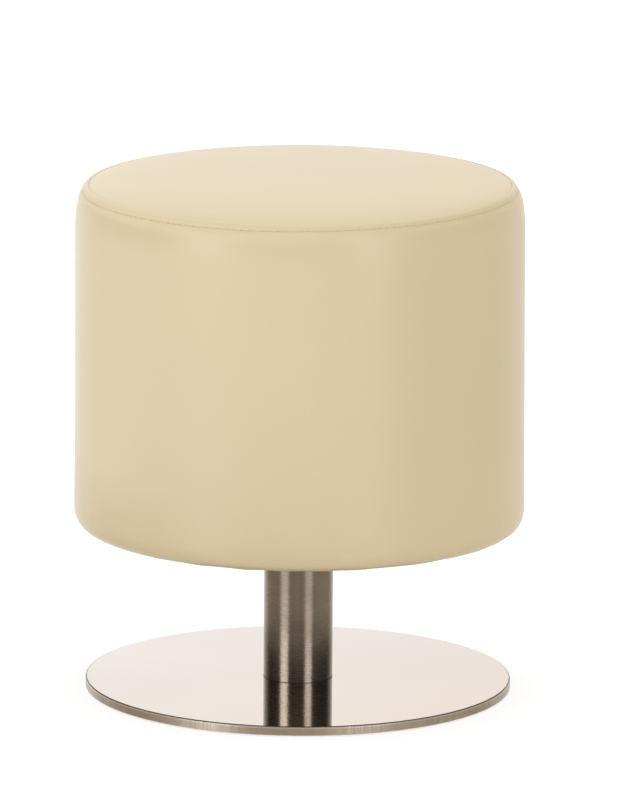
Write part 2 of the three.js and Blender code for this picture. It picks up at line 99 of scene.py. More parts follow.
def calc(tree, operation, first, second=0.0, third=None):
    given = {0: first, 1: second} if third is None else {0: first, 1: second, 2: third}
    return addNode(tree, "ShaderNodeMath", given, operation=operation).outputs[0]


def ramp(tree, value, low, high, toLow=0.0, toHigh=1.0, kind="SMOOTHSTEP"):
    given = {"Value": value, "From Min": low, "From Max": high, "To Min": toLow, "To Max": toHigh}
    return addNode(tree, "ShaderNodeMapRange", given, interpolation_type=kind).outputs["Result"]


def mixColour(tree, factor, first, second, blend="MIX"):
    given = {0: factor, 6: first, 7: second}
    return addNode(tree, "ShaderNodeMix", given, data_type="RGBA", blend_type=blend).outputs[2]


def mixShader(tree, factor, first, second):
    return addNode(tree, "ShaderNodeMixShader", {0: factor, 1: first.outputs[0], 2: second.outputs[0]})


def vectorCalc(tree, operation, first, second=(0.0, 0.0, 0.0)):
    return addNode(tree, "ShaderNodeVectorMath", {0: first, 1: second}, operation=operation).outputs


def axesOf(tree, vector):
    return addNode(tree, "ShaderNodeSeparateXYZ", {"Vector": vector}).outputs


def azimuthOf(tree, axes):  # degrees round the stool, 0 at the front, positive to the right
    return calc(tree, "DEGREES", calc(tree, "ARCTAN2", axes["X"], calc(tree, "MULTIPLY", axes["Y"], -1.0)))


def window(tree, value, opens, shuts):  # 1 between two soft edges, 0 outside them
    return calc(tree, "MULTIPLY", ramp(tree, value, *opens), ramp(tree, value, *shuts, 1.0, 0.0))


def emptyTree(owner):
    owner.use_nodes = True
    owner.node_tree.nodes.clear()
    return owner.node_tree


def showSurface(tree, shader, kind="ShaderNodeOutputMaterial"):
    tree.links.new(shader.outputs[0], addNode(tree, kind).inputs["Surface"])


def newGroup(name, inputs, outputs, kind="ShaderNodeTree"):
    group = bpy.data.node_groups.new(name, kind)
    for label, socketType, value in inputs:
        socket = group.interface.new_socket(label, in_out="INPUT", socket_type=socketType)
        if value is not None:
            socket.default_value = value
    for label, socketType in outputs:
        group.interface.new_socket(label, in_out="OUTPUT", socket_type=socketType)
    start = group.nodes.new("NodeGroupInput")
    return group, start.outputs, group.nodes.new("NodeGroupOutput").inputs


# Surface effects that several finishes share
def buildUnevenColour():
    group, given, out = newGroup(
        "unevenColour",
        [
            ("Vector", "NodeSocketVector", None),
            ("Color", "NodeSocketColor", None),
            ("Scale", "NodeSocketFloat", 8.0),
            ("Amount", "NodeSocketFloat", 0.05),
            ("Detail", "NodeSocketFloat", 3.0),
        ],
        [("Color", "NodeSocketColor"), ("Mask", "NodeSocketFloat")],
    )
    cloud = addNode(
        group,
        "ShaderNodeTexNoise",
        {"Vector": given["Vector"], "Scale": given["Scale"], "Detail": given["Detail"], "Roughness": 0.55},
    )
    mask = ramp(group, cloud.outputs["Fac"], 0.3, 0.7)
    swing = calc(group, "MULTIPLY_ADD", mask, 2.0, -1.0)
    value = calc(group, "MULTIPLY_ADD", swing, given["Amount"], 1.0)
    shaded = addNode(group, "ShaderNodeHueSaturation", {"Color": given["Color"], "Value": value})
    group.links.new(shaded.outputs["Color"], out["Color"])
    group.links.new(mask, out["Mask"])
    return group


def buildPebbleGrain():
    group, given, out = newGroup(
        "pebbleGrain",
        [
            ("Vector", "NodeSocketVector", None),
            ("Scale", "NodeSocketFloat", 900.0),
            ("Roundness", "NodeSocketFloat", 0.6),
        ],
        [("Height", "NodeSocketFloat"), ("Mask", "NodeSocketFloat")],
    )
    drift = addNode(group, "ShaderNodeTexNoise", {"Vector": given["Vector"], "Scale": 260.0, "Detail": 2.0})
    bent = vectorCalc(group, "MULTIPLY", drift.outputs["Color"], (0.0012,) * 3)[0]
    where = vectorCalc(group, "ADD", given["Vector"], bent)[0]
    cells = addNode(
        group,
        "ShaderNodeTexVoronoi",
        {"Vector": where, "Scale": given["Scale"], "Smoothness": given["Roundness"]},
        feature="SMOOTH_F1",
    )
    pores = addNode(
        group,
        "ShaderNodeTexNoise",
        {"Vector": given["Vector"], "Scale": calc(group, "MULTIPLY", given["Scale"], 2.7), "Detail": 2.0},
    )
    raised = calc(group, "MULTIPLY_ADD", cells.outputs["Distance"], -1.2, 1.0)
    height = calc(group, "MULTIPLY_ADD", pores.outputs["Fac"], 0.35, raised)
    group.links.new(height, out["Height"])
    group.links.new(ramp(group, cells.outputs["Distance"], 0.15, 0.75), out["Mask"])
    return group


def buildBrushLines():
    group, given, out = newGroup(
        "brushLines",
        [
            ("Vector", "NodeSocketVector", None),
            ("Coarse", "NodeSocketFloat", 0.3),
        ],
        [("Height", "NodeSocketFloat"), ("Mask", "NodeSocketFloat")],
    )
    fine = addNode(group, "ShaderNodeTexNoise", {"Vector": given["Vector"], "Scale": 1.0, "Detail": 3.0})
    broad = addNode(group, "ShaderNodeTexNoise", {"Vector": given["Vector"], "Scale": 0.22, "Detail": 2.0})
    both = mixColour(group, given["Coarse"], fine.outputs["Fac"], broad.outputs["Fac"])
    group.links.new(both, out["Height"])
    group.links.new(ramp(group, both, 0.3, 0.7), out["Mask"])
    return group


def buildSpecks():
    group, given, out = newGroup(
        "specks",
        [
            ("Vector", "NodeSocketVector", None),
            ("Scale", "NodeSocketFloat", 60.0),
            ("Cover", "NodeSocketFloat", 0.3),
        ],
        [("Mask", "NodeSocketFloat")],
    )
    spots = addNode(
        group,
        "ShaderNodeTexNoise",
        {"Vector": given["Vector"], "Scale": given["Scale"], "Detail": 5.0, "Roughness": 0.7},
    )
    edge = calc(group, "SUBTRACT", 0.75, calc(group, "MULTIPLY", given["Cover"], 0.35))
    past = calc(group, "SUBTRACT", spots.outputs["Fac"], edge)
    group.links.new(ramp(group, past, 0.0, 0.12), out["Mask"])
    return group


unevenColour = buildUnevenColour()
pebbleGrain = buildPebbleGrain()
brushLines = buildBrushLines()
specks = buildSpecks()


def useGroup(tree, group, inputs):
    return addNode(tree, "ShaderNodeGroup", inputs, node_tree=group).outputs


def newMaterial(name, constants):
    material = bpy.data.materials.new(name)
    material.use_nodes = True
    tree = material.node_tree
    shader = tree.nodes["Principled BSDF"]
    for label, value in constants.items():
        shader.inputs[label].default_value = value
    place = addNode(tree, "ShaderNodeTexCoord").outputs["Object"]
    return material, tree, shader, place


def stretched(tree, place, scale):
    return addNode(tree, "ShaderNodeMapping", {"Vector": place, "Scale": scale}).outputs["Vector"]


def bumped(tree, shader, height, strength, distance):
    bump = addNode(tree, "ShaderNodeBump", {"Height": height, "Strength": strength, "Distance": distance})
    tree.links.new(bump.outputs["Normal"], shader.inputs["Normal"])


# Cream leatherette of the top panel and the side band
leatherLook = {
    "colour": linear(221, 202, 163),
    # painted shade colour of seams, folds and grooves; the pores of the grain take it too
    "creaseShade": linear(176, 154, 112),
    "cloudScale": 5.0,
    "cloudAmount": 0.012,
    "grainScale": 1000.0,
    "grainDepth": 0.00006,
    "roughness": (0.46, 0.56),
    "coat": 0.9,
    "coatRoughness": 0.30,
    "specks": {"Scale": 35.0, "Cover": 0.4},
    "poreShade": 0.05,
    "speckPolish": -0.03,
    "bump": 0.35,
}


def leatherFinish():
    look = leatherLook
    material, tree, shader, place = newMaterial(
        "creamLeatherette",
        {"IOR": 1.6, "Coat Weight": look["coat"], "Coat Roughness": look["coatRoughness"]},
    )
    cloud = useGroup(tree, unevenColour, {
        "Vector": place, "Color": look["colour"], "Scale": look["cloudScale"], "Amount": look["cloudAmount"]})
    grain = useGroup(tree, pebbleGrain, {"Vector": place, "Scale": look["grainScale"]})
    worn = useGroup(tree, specks, {"Vector": place, **look["specks"]})
    # a per-point amount of painted shade darkens seams, grooves, folds and needle dimples
    creaseShade = addNode(tree, "ShaderNodeAttribute", attribute_name="creaseShade").outputs["Fac"]
    pored = calc(tree, "MULTIPLY", grain["Mask"], look["poreShade"])
    pores = mixColour(tree, pored, cloud["Color"], look["creaseShade"])
    colour = mixColour(tree, creaseShade, pores, look["creaseShade"])
    tree.links.new(colour, shader.inputs["Base Color"])
    low, high = look["roughness"]
    dull = calc(tree, "MULTIPLY_ADD", cloud["Mask"], high - low, low)
    dulled = calc(tree, "MULTIPLY_ADD", worn["Mask"], look["speckPolish"], dull)
    tree.links.new(dulled, shader.inputs["Roughness"])
    bumped(tree, shader, grain["Height"], look["bump"], look["grainDepth"])
    return material


# Metal finishes: colour, roughness range, brush stretch along X, Y and Z, coarseness, clouds and soil
metalLooks = {
    "polishedSteel": {
        # its broad faint cloud is partly uneven polish and partly painted reflection, darkening some of the mirror
        "colour": linear(238, 230, 224), "roughness": (0.015, 0.030), "stretch": (90, 90, 90),
        "coarse": 0.5, "bump": 0.002, "cloud": 0.025, "cloudScale": 3.0, "soil": 0.02,
    },
    "brushedRim": {
        "colour": linear(204, 193, 180), "roughness": (0.26, 0.44), "stretch": (800, 800, 25),
        "coarse": 0.35, "bump": 0.35, "cloud": 0.08, "cloudScale": 25.0, "soil": 0.2, "streak": 0.3,
        # painted highlight: a lighter band along the rim's top edge, from 6.6 to 7.3 mm up
        "lipHighlight": (6.6 * mm, 7.3 * mm, linear(230, 223, 217)),
    },
    # painted dark reflection: the bevel between the mirror top and the rim is coloured dark
    "bevelDarkReflection": {
        "colour": linear(128, 120, 104), "roughness": (0.24, 0.34), "stretch": (600, 600, 600),
        "coarse": 0.35, "bump": 0.05, "cloud": 0.10, "cloudScale": 40.0, "soil": 0.2,
    },
    "brushedColumn": {
        "colour": linear(164, 153, 142), "roughness": (0.26, 0.285), "stretch": (30, 30, 2600),
        "coarse": 0.3, "bump": 0.012, "cloud": 0.08, "cloudScale": 45.0, "soil": 0.4, "streak": 0.06,
        "anisotropy": 0.67, "turn": 0.25,
    },
    "machinedSteel": {
        "colour": linear(190, 187, 182), "roughness": (0.25, 0.42), "stretch": (60, 60, 1800),
        "coarse": 0.3, "bump": 0.10, "cloud": 0.04, "cloudScale": 40.0, "soil": 0.12,
    },
    "bearingSteel": {
        "colour": linear(216, 217, 218), "roughness": (0.06, 0.14), "stretch": (500, 500, 500),
        "coarse": 0.5, "bump": 0.01, "cloud": 0.02, "cloudScale": 60.0, "soil": 0.1,
    },
    "zincSteel": {
        "colour": linear(205, 209, 211), "roughness": (0.28, 0.5), "stretch": (700, 700, 700),
        "coarse": 0.6, "bump": 0.06, "cloud": 0.08, "cloudScale": 180.0, "soil": 0.15,
    },
    "bushBronze": {
        "colour": linear(196, 160, 104), "roughness": (0.28, 0.45), "stretch": (60, 60, 1500),
        "coarse": 0.3, "bump": 0.08, "cloud": 0.08, "cloudScale": 60.0, "soil": 0.2,
    },
}


def metalFinish(name):
    look = metalLooks[name]
    constants = {"Metallic": 1.0, "Anisotropic": look.get("anisotropy", 0.0)}
    constants["Anisotropic Rotation"] = look.get("turn", 0.0)
    material, tree, shader, place = newMaterial(name, constants)
    brushed = stretched(tree, place, look["stretch"])
    lines = useGroup(tree, brushLines, {"Vector": brushed, "Coarse": look["coarse"]})
    cloud = useGroup(tree, unevenColour, {
        "Vector": place, "Color": look["colour"], "Scale": look["cloudScale"], "Amount": look["cloud"]})
    soil = useGroup(tree, specks, {"Vector": place, "Scale": look["cloudScale"] * 3, "Cover": look["soil"]})
    clean = cloud["Color"]
    if "lipHighlight" in look:  # painted highlight along the top edge of the rim
        low, high, highlightColour = look["lipHighlight"]
        clean = mixColour(tree, ramp(tree, axesOf(tree, place)["Z"], low, high), clean, highlightColour)
    soiled = mixColour(tree, 1.0, clean, linear(182, 168, 148), "MULTIPLY")
    amount = calc(tree, "MULTIPLY", soil["Mask"], look["soil"])
    amount = calc(tree, "MULTIPLY_ADD", lines["Mask"], look.get("streak", 0.0), amount)
    tree.links.new(mixColour(tree, amount, clean, soiled), shader.inputs["Base Color"])
    low, high = look["roughness"]
    dull = calc(tree, "MULTIPLY_ADD", lines["Mask"], high - low, low)
    dulled = calc(tree, "MULTIPLY_ADD", soil["Mask"], 0.04 * look["soil"], dull)
    tree.links.new(dulled, shader.inputs["Roughness"])
    bumped(tree, shader, lines["Height"], look["bump"], 0.0001)
    if look.get("anisotropy"):
        aroundZ = addNode(tree, "ShaderNodeTangent", direction_type="RADIAL", axis="Z")
        tree.links.new(aroundZ.outputs["Tangent"], shader.inputs["Tangent"])
    return material


# Matt finishes: colour, second colour in the grain, roughness range and grain
mattLooks = {
    "blackPaint": {
        "colour": linear(34, 34, 35), "second": linear(52, 51, 50), "roughness": (0.32, 0.46),
        "grainScale": 700.0, "grainDepth": 0.00004, "cloud": 0.08, "cloudScale": 30.0, "mix": 0.15,
    },
    "floorRubber": {
        "colour": linear(28, 28, 28), "second": linear(60, 58, 56), "roughness": (0.7, 0.9),
        "grainScale": 1400.0, "grainDepth": 0.00008, "cloud": 0.15, "cloudScale": 50.0, "mix": 0.25,
    },
    "dustCloth": {
        "colour": linear(38, 38, 40), "second": linear(70, 70, 73), "roughness": (0.85, 0.97),
        "grainScale": 1600.0, "grainDepth": 0.00015, "cloud": 0.10, "cloudScale": 120.0, "mix": 0.5,
    },
    "foamPad": {
        "colour": linear(236, 226, 178), "second": linear(205, 190, 136), "roughness": (0.85, 0.95),
        "grainScale": 1100.0, "grainDepth": 0.0003, "cloud": 0.03, "cloudScale": 14.0, "mix": 0.5,
    },
    "threadCream": {
        "colour": linear(220, 201, 164), "second": linear(200, 180, 140), "roughness": (0.6, 0.75),
        "grainScale": 2600.0, "grainDepth": 0.00008, "cloud": 0.05, "cloudScale": 200.0, "mix": 0.4,
    },
    # painted shade: the dark marks in the needle holes between the stitches
    "needleHoleShade": {
        "colour": linear(204, 185, 147), "second": linear(188, 168, 128), "roughness": (0.8, 0.9),
        "grainScale": 1500.0, "grainDepth": 0.00005, "cloud": 0.1, "cloudScale": 200.0, "mix": 0.4,
    },
}


def mattFinish(name):
    look = mattLooks[name]
    material, tree, shader, place = newMaterial(name, {})
    cloud = useGroup(tree, unevenColour, {
        "Vector": place, "Color": look["colour"], "Scale": look["cloudScale"], "Amount": look["cloud"]})
    grain = useGroup(tree, pebbleGrain, {"Vector": place, "Scale": look["grainScale"]})
    share = calc(tree, "MULTIPLY", grain["Mask"], look["mix"])
    mixed = mixColour(tree, share, cloud["Color"], look["second"])
    tree.links.new(mixed, shader.inputs["Base Color"])
    low, high = look["roughness"]
    tree.links.new(calc(tree, "MULTIPLY_ADD", grain["Mask"], high - low, low), shader.inputs["Roughness"])
    bumped(tree, shader, grain["Height"], 0.5, look["grainDepth"])
    return material


# Sheet wood: fibres drawn out along X, and plies as layers of height
woodLooks = {
    "plywood": {
        "light": linear(214, 178, 132), "dark": linear(172, 128, 84), "stretch": (6, 90, 160),
        "ply": 1.5 * mm, "plyShade": 0.45, "roughness": (0.55, 0.72),
    },
    "hardboard": {
        "light": linear(128, 93, 62), "dark": linear(88, 60, 38), "stretch": (220, 220, 220),
        "ply": 3 * mm, "plyShade": 0.0, "roughness": (0.6, 0.8),
    },
}


def woodFinish(name):
    look = woodLooks[name]
    material, tree, shader, place = newMaterial(name, {})
    fibre = useGroup(tree, brushLines, {"Vector": stretched(tree, place, look["stretch"]), "Coarse": 0.6})
    face = mixColour(tree, fibre["Mask"], look["light"], look["dark"])
    layer = calc(tree, "PINGPONG", axesOf(tree, place)["Z"], look["ply"])
    band = ramp(tree, layer, look["ply"] * 0.4, look["ply"] * 0.6)
    facing = addNode(tree, "ShaderNodeNewGeometry").outputs["Normal"]
    upright = calc(tree, "ABSOLUTE", axesOf(tree, facing)["Z"])
    edge = calc(tree, "MULTIPLY", ramp(tree, upright, 0.3, 0.7, 1.0, 0.0), look["plyShade"])
    plies = mixColour(tree, calc(tree, "MULTIPLY", band, edge), face, look["dark"])
    cloud = useGroup(tree, unevenColour, {"Vector": place, "Color": plies, "Scale": 12.0, "Amount": 0.08})
    tree.links.new(cloud["Color"], shader.inputs["Base Color"])
    low, high = look["roughness"]
    tree.links.new(calc(tree, "MULTIPLY_ADD", fibre["Mask"], high - low, low), shader.inputs["Roughness"])
    bumped(tree, shader, fibre["Height"], 0.25, 0.0002)
    return material


finishes = {"creamLeatherette": leatherFinish()}
finishes.update({name: metalFinish(name) for name in metalLooks})
finishes.update({name: mattFinish(name) for name in mattLooks})
finishes.update({name: woodFinish(name) for name in woodLooks})
print("materials:", len(finishes))


# Objects, and meshes from rings of points
def addObject(name, data, *materials):
    piece = bpy.data.objects.new(name, data)
    scene.collection.objects.link(piece)
    for material in materials:
        data.materials.append(finishes[material])
    return piece


def evaluatedMesh(piece):
    return bpy.data.meshes.new_from_object(piece.evaluated_get(bpy.context.evaluated_depsgraph_get()))


def applyModifiers(piece):
    made = evaluatedMesh(piece)
    piece.modifiers.clear()
    piece.data = made


def readVectors(items, label):
    values = np.zeros(len(items) * 3)
    items.foreach_get(label, values)
    return values.reshape(-1, 3)


def numberFinishes(mesh, numbers):
    mesh.polygons.foreach_set("material_index", numbers.astype(np.int32))


# per-point amount of painted shade in seams, folds and grooves
def writeCreaseShade(mesh, shade):
    values = np.zeros(len(mesh.vertices), np.float32)
    values[: shade.size] = shade.ravel()
    mesh.attributes.new("creaseShade", "FLOAT", "POINT").data.foreach_set("value", values)


def ringMesh(name, rings, closed=False, poles=(False, False)):
    count, sides = rings.shape[:2]
    index = np.arange(count * sides).reshape(count, sides)
    nextSide = np.roll(index, -1, axis=1)
    high, highNext = np.roll(index, -1, axis=0), np.roll(nextSide, -1, axis=0)
    rows = count if closed else count - 1
    points = rings.reshape(-1, 3)
    faces = np.stack([index, nextSide, highNext, high], axis=-1)[:rows].reshape(-1, 4).tolist()
    for end, row in ((0, 0), (1, count - 1)):
        if poles[end]:
            tip = len(points)
            points = np.vstack([points, rings[row].mean(0)])
            around = index[row] if end else index[row][::-1]
            faces += [[int(a), int(b), tip] for a, b in zip(around, np.roll(around, -1))]
    mesh = bpy.data.meshes.new(name)
    mesh.from_pydata(points.tolist(), [], faces)
    mesh.update()
    if volumeOf(mesh) < 0:
        mesh.flip_normals()
    mesh.polygons.foreach_set("use_smooth", np.ones(len(mesh.polygons), dtype=bool))
    return mesh


def volumeOf(mesh):
    mesh.calc_loop_triangles()
    corners = readVectors(mesh.vertices, "co")
    tris = np.zeros(len(mesh.loop_triangles) * 3, dtype=np.int64)
    mesh.loop_triangles.foreach_get("vertices", tris)
    a, b, c = (corners[tris.reshape(-1, 3)[:, i]] for i in range(3))
    return float((np.cross(a, b) * c).sum() / 6)


def ringAngles(count):
    return np.arange(count) / count * 2 * math.pi


def turned(radius, height, angles):  # distance from the axis and height, carried round it
    return np.stack([radius * np.cos(angles), radius * np.sin(angles), height + 0 * angles], axis=-1)


def revolved(rows, angles):
    radius, height = np.asarray(rows, float).T
    return turned(radius[:, None], height[:, None], angles)


def sharpen(mesh, degrees):
    mesh.set_sharp_from_angle(angle=math.radians(degrees))


def arcSteps(values):
    return np.concatenate([[0.0], np.cumsum(np.hypot(*np.diff(np.asarray(values, float), axis=0).T))])


def outward(rows):  # unit normals of a path of (radius, height), to the right of its direction
    along = np.gradient(np.asarray(rows, float), axis=0)
    along /= np.linalg.norm(along, axis=1)[:, None]
    return np.stack([along[:, 1], -along[:, 0]], axis=-1)


def smoothStep(value, low, high):
    t = np.clip((value - low) / (high - low), 0, 1)
    return t * t * (3 - 2 * t)


def bell(value, middle, width):
    return np.exp(-(((value - middle) / width) ** 2))


# How the drum is upholstered
drumShape = {
    "wallInset": (0.5 * mm, 1.5 * mm),
    "rollReach": 14 * mm,
    "rollRise": 18 * mm,
    "shoulderReach": 10.9 * mm,
    "shoulderDraw": 10.35 * mm,
    "seamDrop": 36.4 * mm,
    "foamWall": 8 * mm,
    "topLean": 0.004,
    "topShift": 0.9 * mm,
    "hemRadius": 150 * mm,
    "skin": 1.2 * mm,
    "fold": 0.6 * mm,
    "seamDepth": 4 * mm,
    "crown": (7.5 * mm, 4),
    "edgeDrop": (1.6 * mm, 0.75 * mm),
    "edgeGap": 0.08 * mm,
    "sides": 940,
    "stitches": 188,
}
sideLow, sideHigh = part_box("side_cover")
drumRadius = sideHigh.x
drumBottom = sideLow.z
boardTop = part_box("top_board")[1].z
seamHeight = boardTop + drumShape["seamDrop"]
footRadius, wallRadius = (drumRadius - inset for inset in drumShape["wallInset"])
rollRadius = footRadius - drumShape["rollReach"]
shoulderRadius = wallRadius - drumShape["shoulderReach"]
seamAngle = math.acos(1 - drumShape["shoulderDraw"] / drumShape["shoulderReach"])
shoulderRise = drumShape["seamDrop"] / math.sin(seamAngle)
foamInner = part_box("side_padding")[1].x - drumShape["foamWall"]


# Topstitching below the seam
stitchShape = {
    "below": 6.9 * mm,
    "ridge": 0.36 * mm,
    "groove": 0.05 * mm,
    "pucker": 0.12 * mm,
    "sway": 0.35 * mm,
    "slope": 0.65 * mm,
    "length": 4.4 * mm,
    "thickness": 0.55 * mm,
    "threadLift": 0.12 * mm,
    # the dark marks in the needle holes, painted shade
    "holeShadeLength": 2.9 * mm,
    "holeShadeWidth": 0.85 * mm,
    "holeShadeHeight": 0.45 * mm,
    "holeShadeSink": 0.02 * mm,
    "step": 0.2 * mm,
    "seed": 11,
}


def shoulderPoint(angle):
    return (
        shoulderRadius + drumShape["shoulderReach"] * math.cos(angle),
        boardTop + shoulderRise * math.sin(angle),
    )


def shoulderPath():  # points and their distance below the seam, from board height up to the seam
    angles = np.linspace(0, seamAngle, 600)
    points = np.array([shoulderPoint(a) for a in angles])
    steps = arcSteps(points)
    return points, steps[-1] - steps


def shoulderAt(below):
    points, distance = shoulderPath()
    order = distance[::-1]
    return np.stack([np.interp(below, order, points[::-1, i]) for i in (0, 1)], axis=-1)


def shoulderInside(below, depth):  # the shoulder, moved inwards
    points, distance = shoulderPath()
    angle = np.interp(below, distance[::-1], np.linspace(seamAngle, 0, len(points)))
    lean = np.stack([np.cos(angle) / drumShape["shoulderReach"], np.sin(angle) / shoulderRise], axis=-1)
    return shoulderAt(below) - depth * lean / np.linalg.norm(lean, axis=1)[:, None]


def settle(points):  # the cover leans a little to one side
    height = points[..., 2].copy()
    share = smoothStep(height, boardTop + 2 * mm, boardTop + 24 * mm)
    reach = np.hypot(points[..., 0], points[..., 1])
    free = np.maximum(share, smoothStep(reach, foamInner + 2 * mm, wallRadius))
    points[..., 2] += drumShape["topLean"] * points[..., 0] * share
    points[..., 0] -= drumShape["topShift"] * free * smoothStep(height, drumBottom, seamHeight)
    return points


def stitchSway(angles):
    waves = ((3, 0.4, 0.5), (7, 1.9, 0.3), (17, 0.2, 0.2), (31, 2.2, 0.14))
    sway = stitchShape["sway"] * sum(size * np.sin(n * angles + shift) for n, shift, size in waves)
    return sway - stitchShape["slope"] * np.cos(angles)


def bandRelief(below, angles):  # height over the plain shoulder, along its normal; and how much painted crease shade
    offset = below[:, None] - stitchSway(angles)
    at = stitchShape["below"]
    ridge = smoothStep(offset, 0.1 * mm, 1.6 * mm) * (1 - smoothStep(offset, at - 3.6 * mm, at - 1.2 * mm))
    groove = bell(offset, at, 0.8 * mm)
    rng = np.random.default_rng(stitchShape["seed"])
    each = rng.uniform(0.4, 1.5, drumShape["stitches"])
    turn = angles / (2 * math.pi) * drumShape["stitches"]
    strength = np.interp(turn, np.arange(drumShape["stitches"] + 1), np.append(each, each[0]))
    beat = np.cos(2 * math.pi * turn) * strength
    pulled = bell(offset, at - 1.9 * mm, 1.5 * mm) + 0.8 * bell(offset, at + 2.2 * mm, 1.9 * mm)
    dimpleShade = bell(offset, at, 0.6 * mm) * (0.5 + 0.5 * beat)
    relief = stitchShape["ridge"] * ridge - stitchShape["groove"] * groove
    relief = relief + stitchShape["pucker"] * beat * pulled
    # painted shade: the seam line, the stitch groove and the needle dimples darker
    creaseShade = 0.05 * bell(below[:, None] + 0 * angles, 0.0, 0.7 * mm) + 0.04 * groove + 0.08 * dimpleShade
    return relief, creaseShade


def gentleWaves(angles, along, size, seed):  # slight unevenness of foam under the skin
    rng = np.random.default_rng(seed)
    total = 0
    for _ in range(16):
        turns = rng.integers(2, 15)
        rise = rng.uniform(-22, 22)
        strength = rng.uniform(0.3, 1.0)
        phase = turns * angles[None, :] + rise * along[:, None] + rng.uniform(0, 2 * math.pi)
        total = total + strength * np.sin(phase)
    return size * total / 4


# Cloth simulation of a coarse closed skin: the held rings stay, the rest swells as filled with foam
simLook = {
    "sides": 188,
    "frames": 20,
    "sideWaves": 40,
    "topWaves": 5,
    "rules": {
        "quality": 6, "mass": 0.25, "tension_stiffness": 12, "compression_stiffness": 12,
        "shear_stiffness": 6, "bending_stiffness": 1.5, "tension_damping": 12, "air_damping": 2,
        "use_pressure": True, "uniform_pressure_force": 4.0, "vertex_group_mass": "held",
        "shrink_min": -0.004,
    },
}


def swell(name, rings, held, limit, poles=(False, False), closed=True):
    piece = addObject(name, ringMesh(name, rings, closed=closed, poles=poles))
    rows, sides = rings.shape[:2]
    pinned = piece.vertex_groups.new(name="held")
    keep = (np.array(held)[:, None] * sides + np.arange(sides)).ravel()
    pinned.add([int(i) for i in keep], 1.0, "REPLACE")
    cloth = piece.modifiers.new("cloth", "CLOTH")
    for label, value in simLook["rules"].items():
        setattr(cloth.settings, label, value)
    cloth.settings.effector_weights.gravity = 0
    cloth.point_cache.frame_start = 1
    cloth.point_cache.frame_end = simLook["frames"]
    for number in range(1, simLook["frames"] + 1):
        scene.frame_set(number)
    shaped = piece.evaluated_get(bpy.context.evaluated_depsgraph_get()).to_mesh()
    move = readVectors(shaped.vertices, "co")[: rows * sides].reshape(rings.shape) - rings
    scene.frame_set(1)
    bpy.data.objects.remove(piece)
    far = np.linalg.norm(move, axis=-1, keepdims=True)
    print(name, "moved", round(float(far.max()) * 1000, 2), "mm at most before the cap")
    return move * np.minimum(1.0, limit / np.maximum(far, 1e-9))


def spreadMove(move, simAngles, simAlong, angles, along, count):
    # the coarse movement on the fine mesh: harmonics round the drum, a smooth curve along it
    cosine, sine = np.cos(simAngles), np.sin(simAngles)
    out = move[..., 0] * cosine + move[..., 1] * sine
    side = move[..., 1] * cosine - move[..., 0] * sine
    parts = []
    for field in (out, side, move[..., 2]):
        waves = np.fft.rfft(field, axis=1)[:, :count] / field.shape[1]
        waves[:, 1:] *= 2
        wave = np.stack([smoothCurve(along, simAlong, w) for w in waves.T])
        turns = np.exp(1j * np.outer(np.arange(len(wave)), angles - simAngles[0]))
        parts.append(np.einsum("wa,wn->an", wave, turns).real)
    out, side, up = parts
    cosine, sine = np.cos(angles), np.sin(angles)
    return np.stack([out * cosine - side * sine, out * sine + side * cosine, up], axis=-1)


def smoothCurve(at, known, values):
    slope = np.gradient(values, known)
    i = np.clip(np.searchsorted(known, at, side="right") - 1, 0, len(known) - 2)
    gap = known[i + 1] - known[i]
    t = np.clip((at - known[i]) / gap, 0, 1)
    return (
        (2 * t**3 - 3 * t**2 + 1) * values[i]
        + (t**3 - 2 * t**2 + t) * gap * slope[i]
        + (3 * t**2 - 2 * t**3) * values[i + 1]
        + (t**3 - t**2) * gap * slope[i + 1]
    )


# Side band: turned-in hem, foot roll, straight wall, shoulder, stitched ridge and the fold at the seam
sideShape = {
    "inset": 0.3 * mm,
    "unevenness": 0.14 * mm,
    "swellLimit": 1.1 * mm,
    "hemPleats": 46,
    "pleatDepth": 0.7 * mm,
    "pleatsStart": (17 * mm, 9 * mm),
    "pleatsEnd": (5 * mm, -1 * mm),
    "backSeamDepth": 0.9 * mm,
    "backSeamWidth": 1.1 * mm,
    "backLips": (0.35 * mm, 2.4 * mm, 1.6 * mm),
    "freeAbove": (2 * mm, 45 * mm),
    "freeBelow": (8 * mm, 30 * mm),
    "sharpAngle": 62,
    "seed": 5,
}


def sideOuterRows():
    hem = [(r, drumBottom) for r in np.linspace(drumShape["hemRadius"], rollRadius, 12)[:-1]]
    roll = [
        (
            rollRadius + drumShape["rollReach"] * math.cos(a),
            drumBottom + drumShape["rollRise"] * (1 + math.sin(a)),
        )
        for a in np.linspace(-math.pi / 2, 0, 16)
    ]
    wall = list(zip(
        np.linspace(footRadius, wallRadius, 26)[1:-1],
        np.linspace(drumBottom + drumShape["rollRise"], boardTop, 26)[1:-1],
    ))
    below = np.concatenate([
        np.linspace(shoulderPath()[1][0], 13 * mm, 9),
        np.array([11.6, 10.6, 9.8, 9.2, 8.7, 8.2, 7.8, 7.4, 7.1, 6.8, 6.5, 6.2, 5.8, 5.4, 4.9]) * mm,
        np.array([4.2, 3.5, 2.8, 2.1, 1.5, 1.0, 0.6, 0.3, 0.0]) * mm,
    ])
    shoulder = [tuple(p) for p in shoulderAt(below)]
    rows = np.array(hem + roll + wall + shoulder)
    return rows, np.concatenate([np.full(len(rows) - len(below), 1.0), below])


def bandAngles():  # even spacing, closer together at the back seam
    even = ringAngles(drumShape["sides"])
    width = sideShape["backSeamWidth"] / drumRadius
    close = math.pi / 2 + np.array([-1.3, -0.7, -0.35, 0.0, 0.35, 0.7, 1.3]) * width
    kept = even[np.abs(even - math.pi / 2) > 1.8 * width]
    return np.sort(np.concatenate([kept, close]))


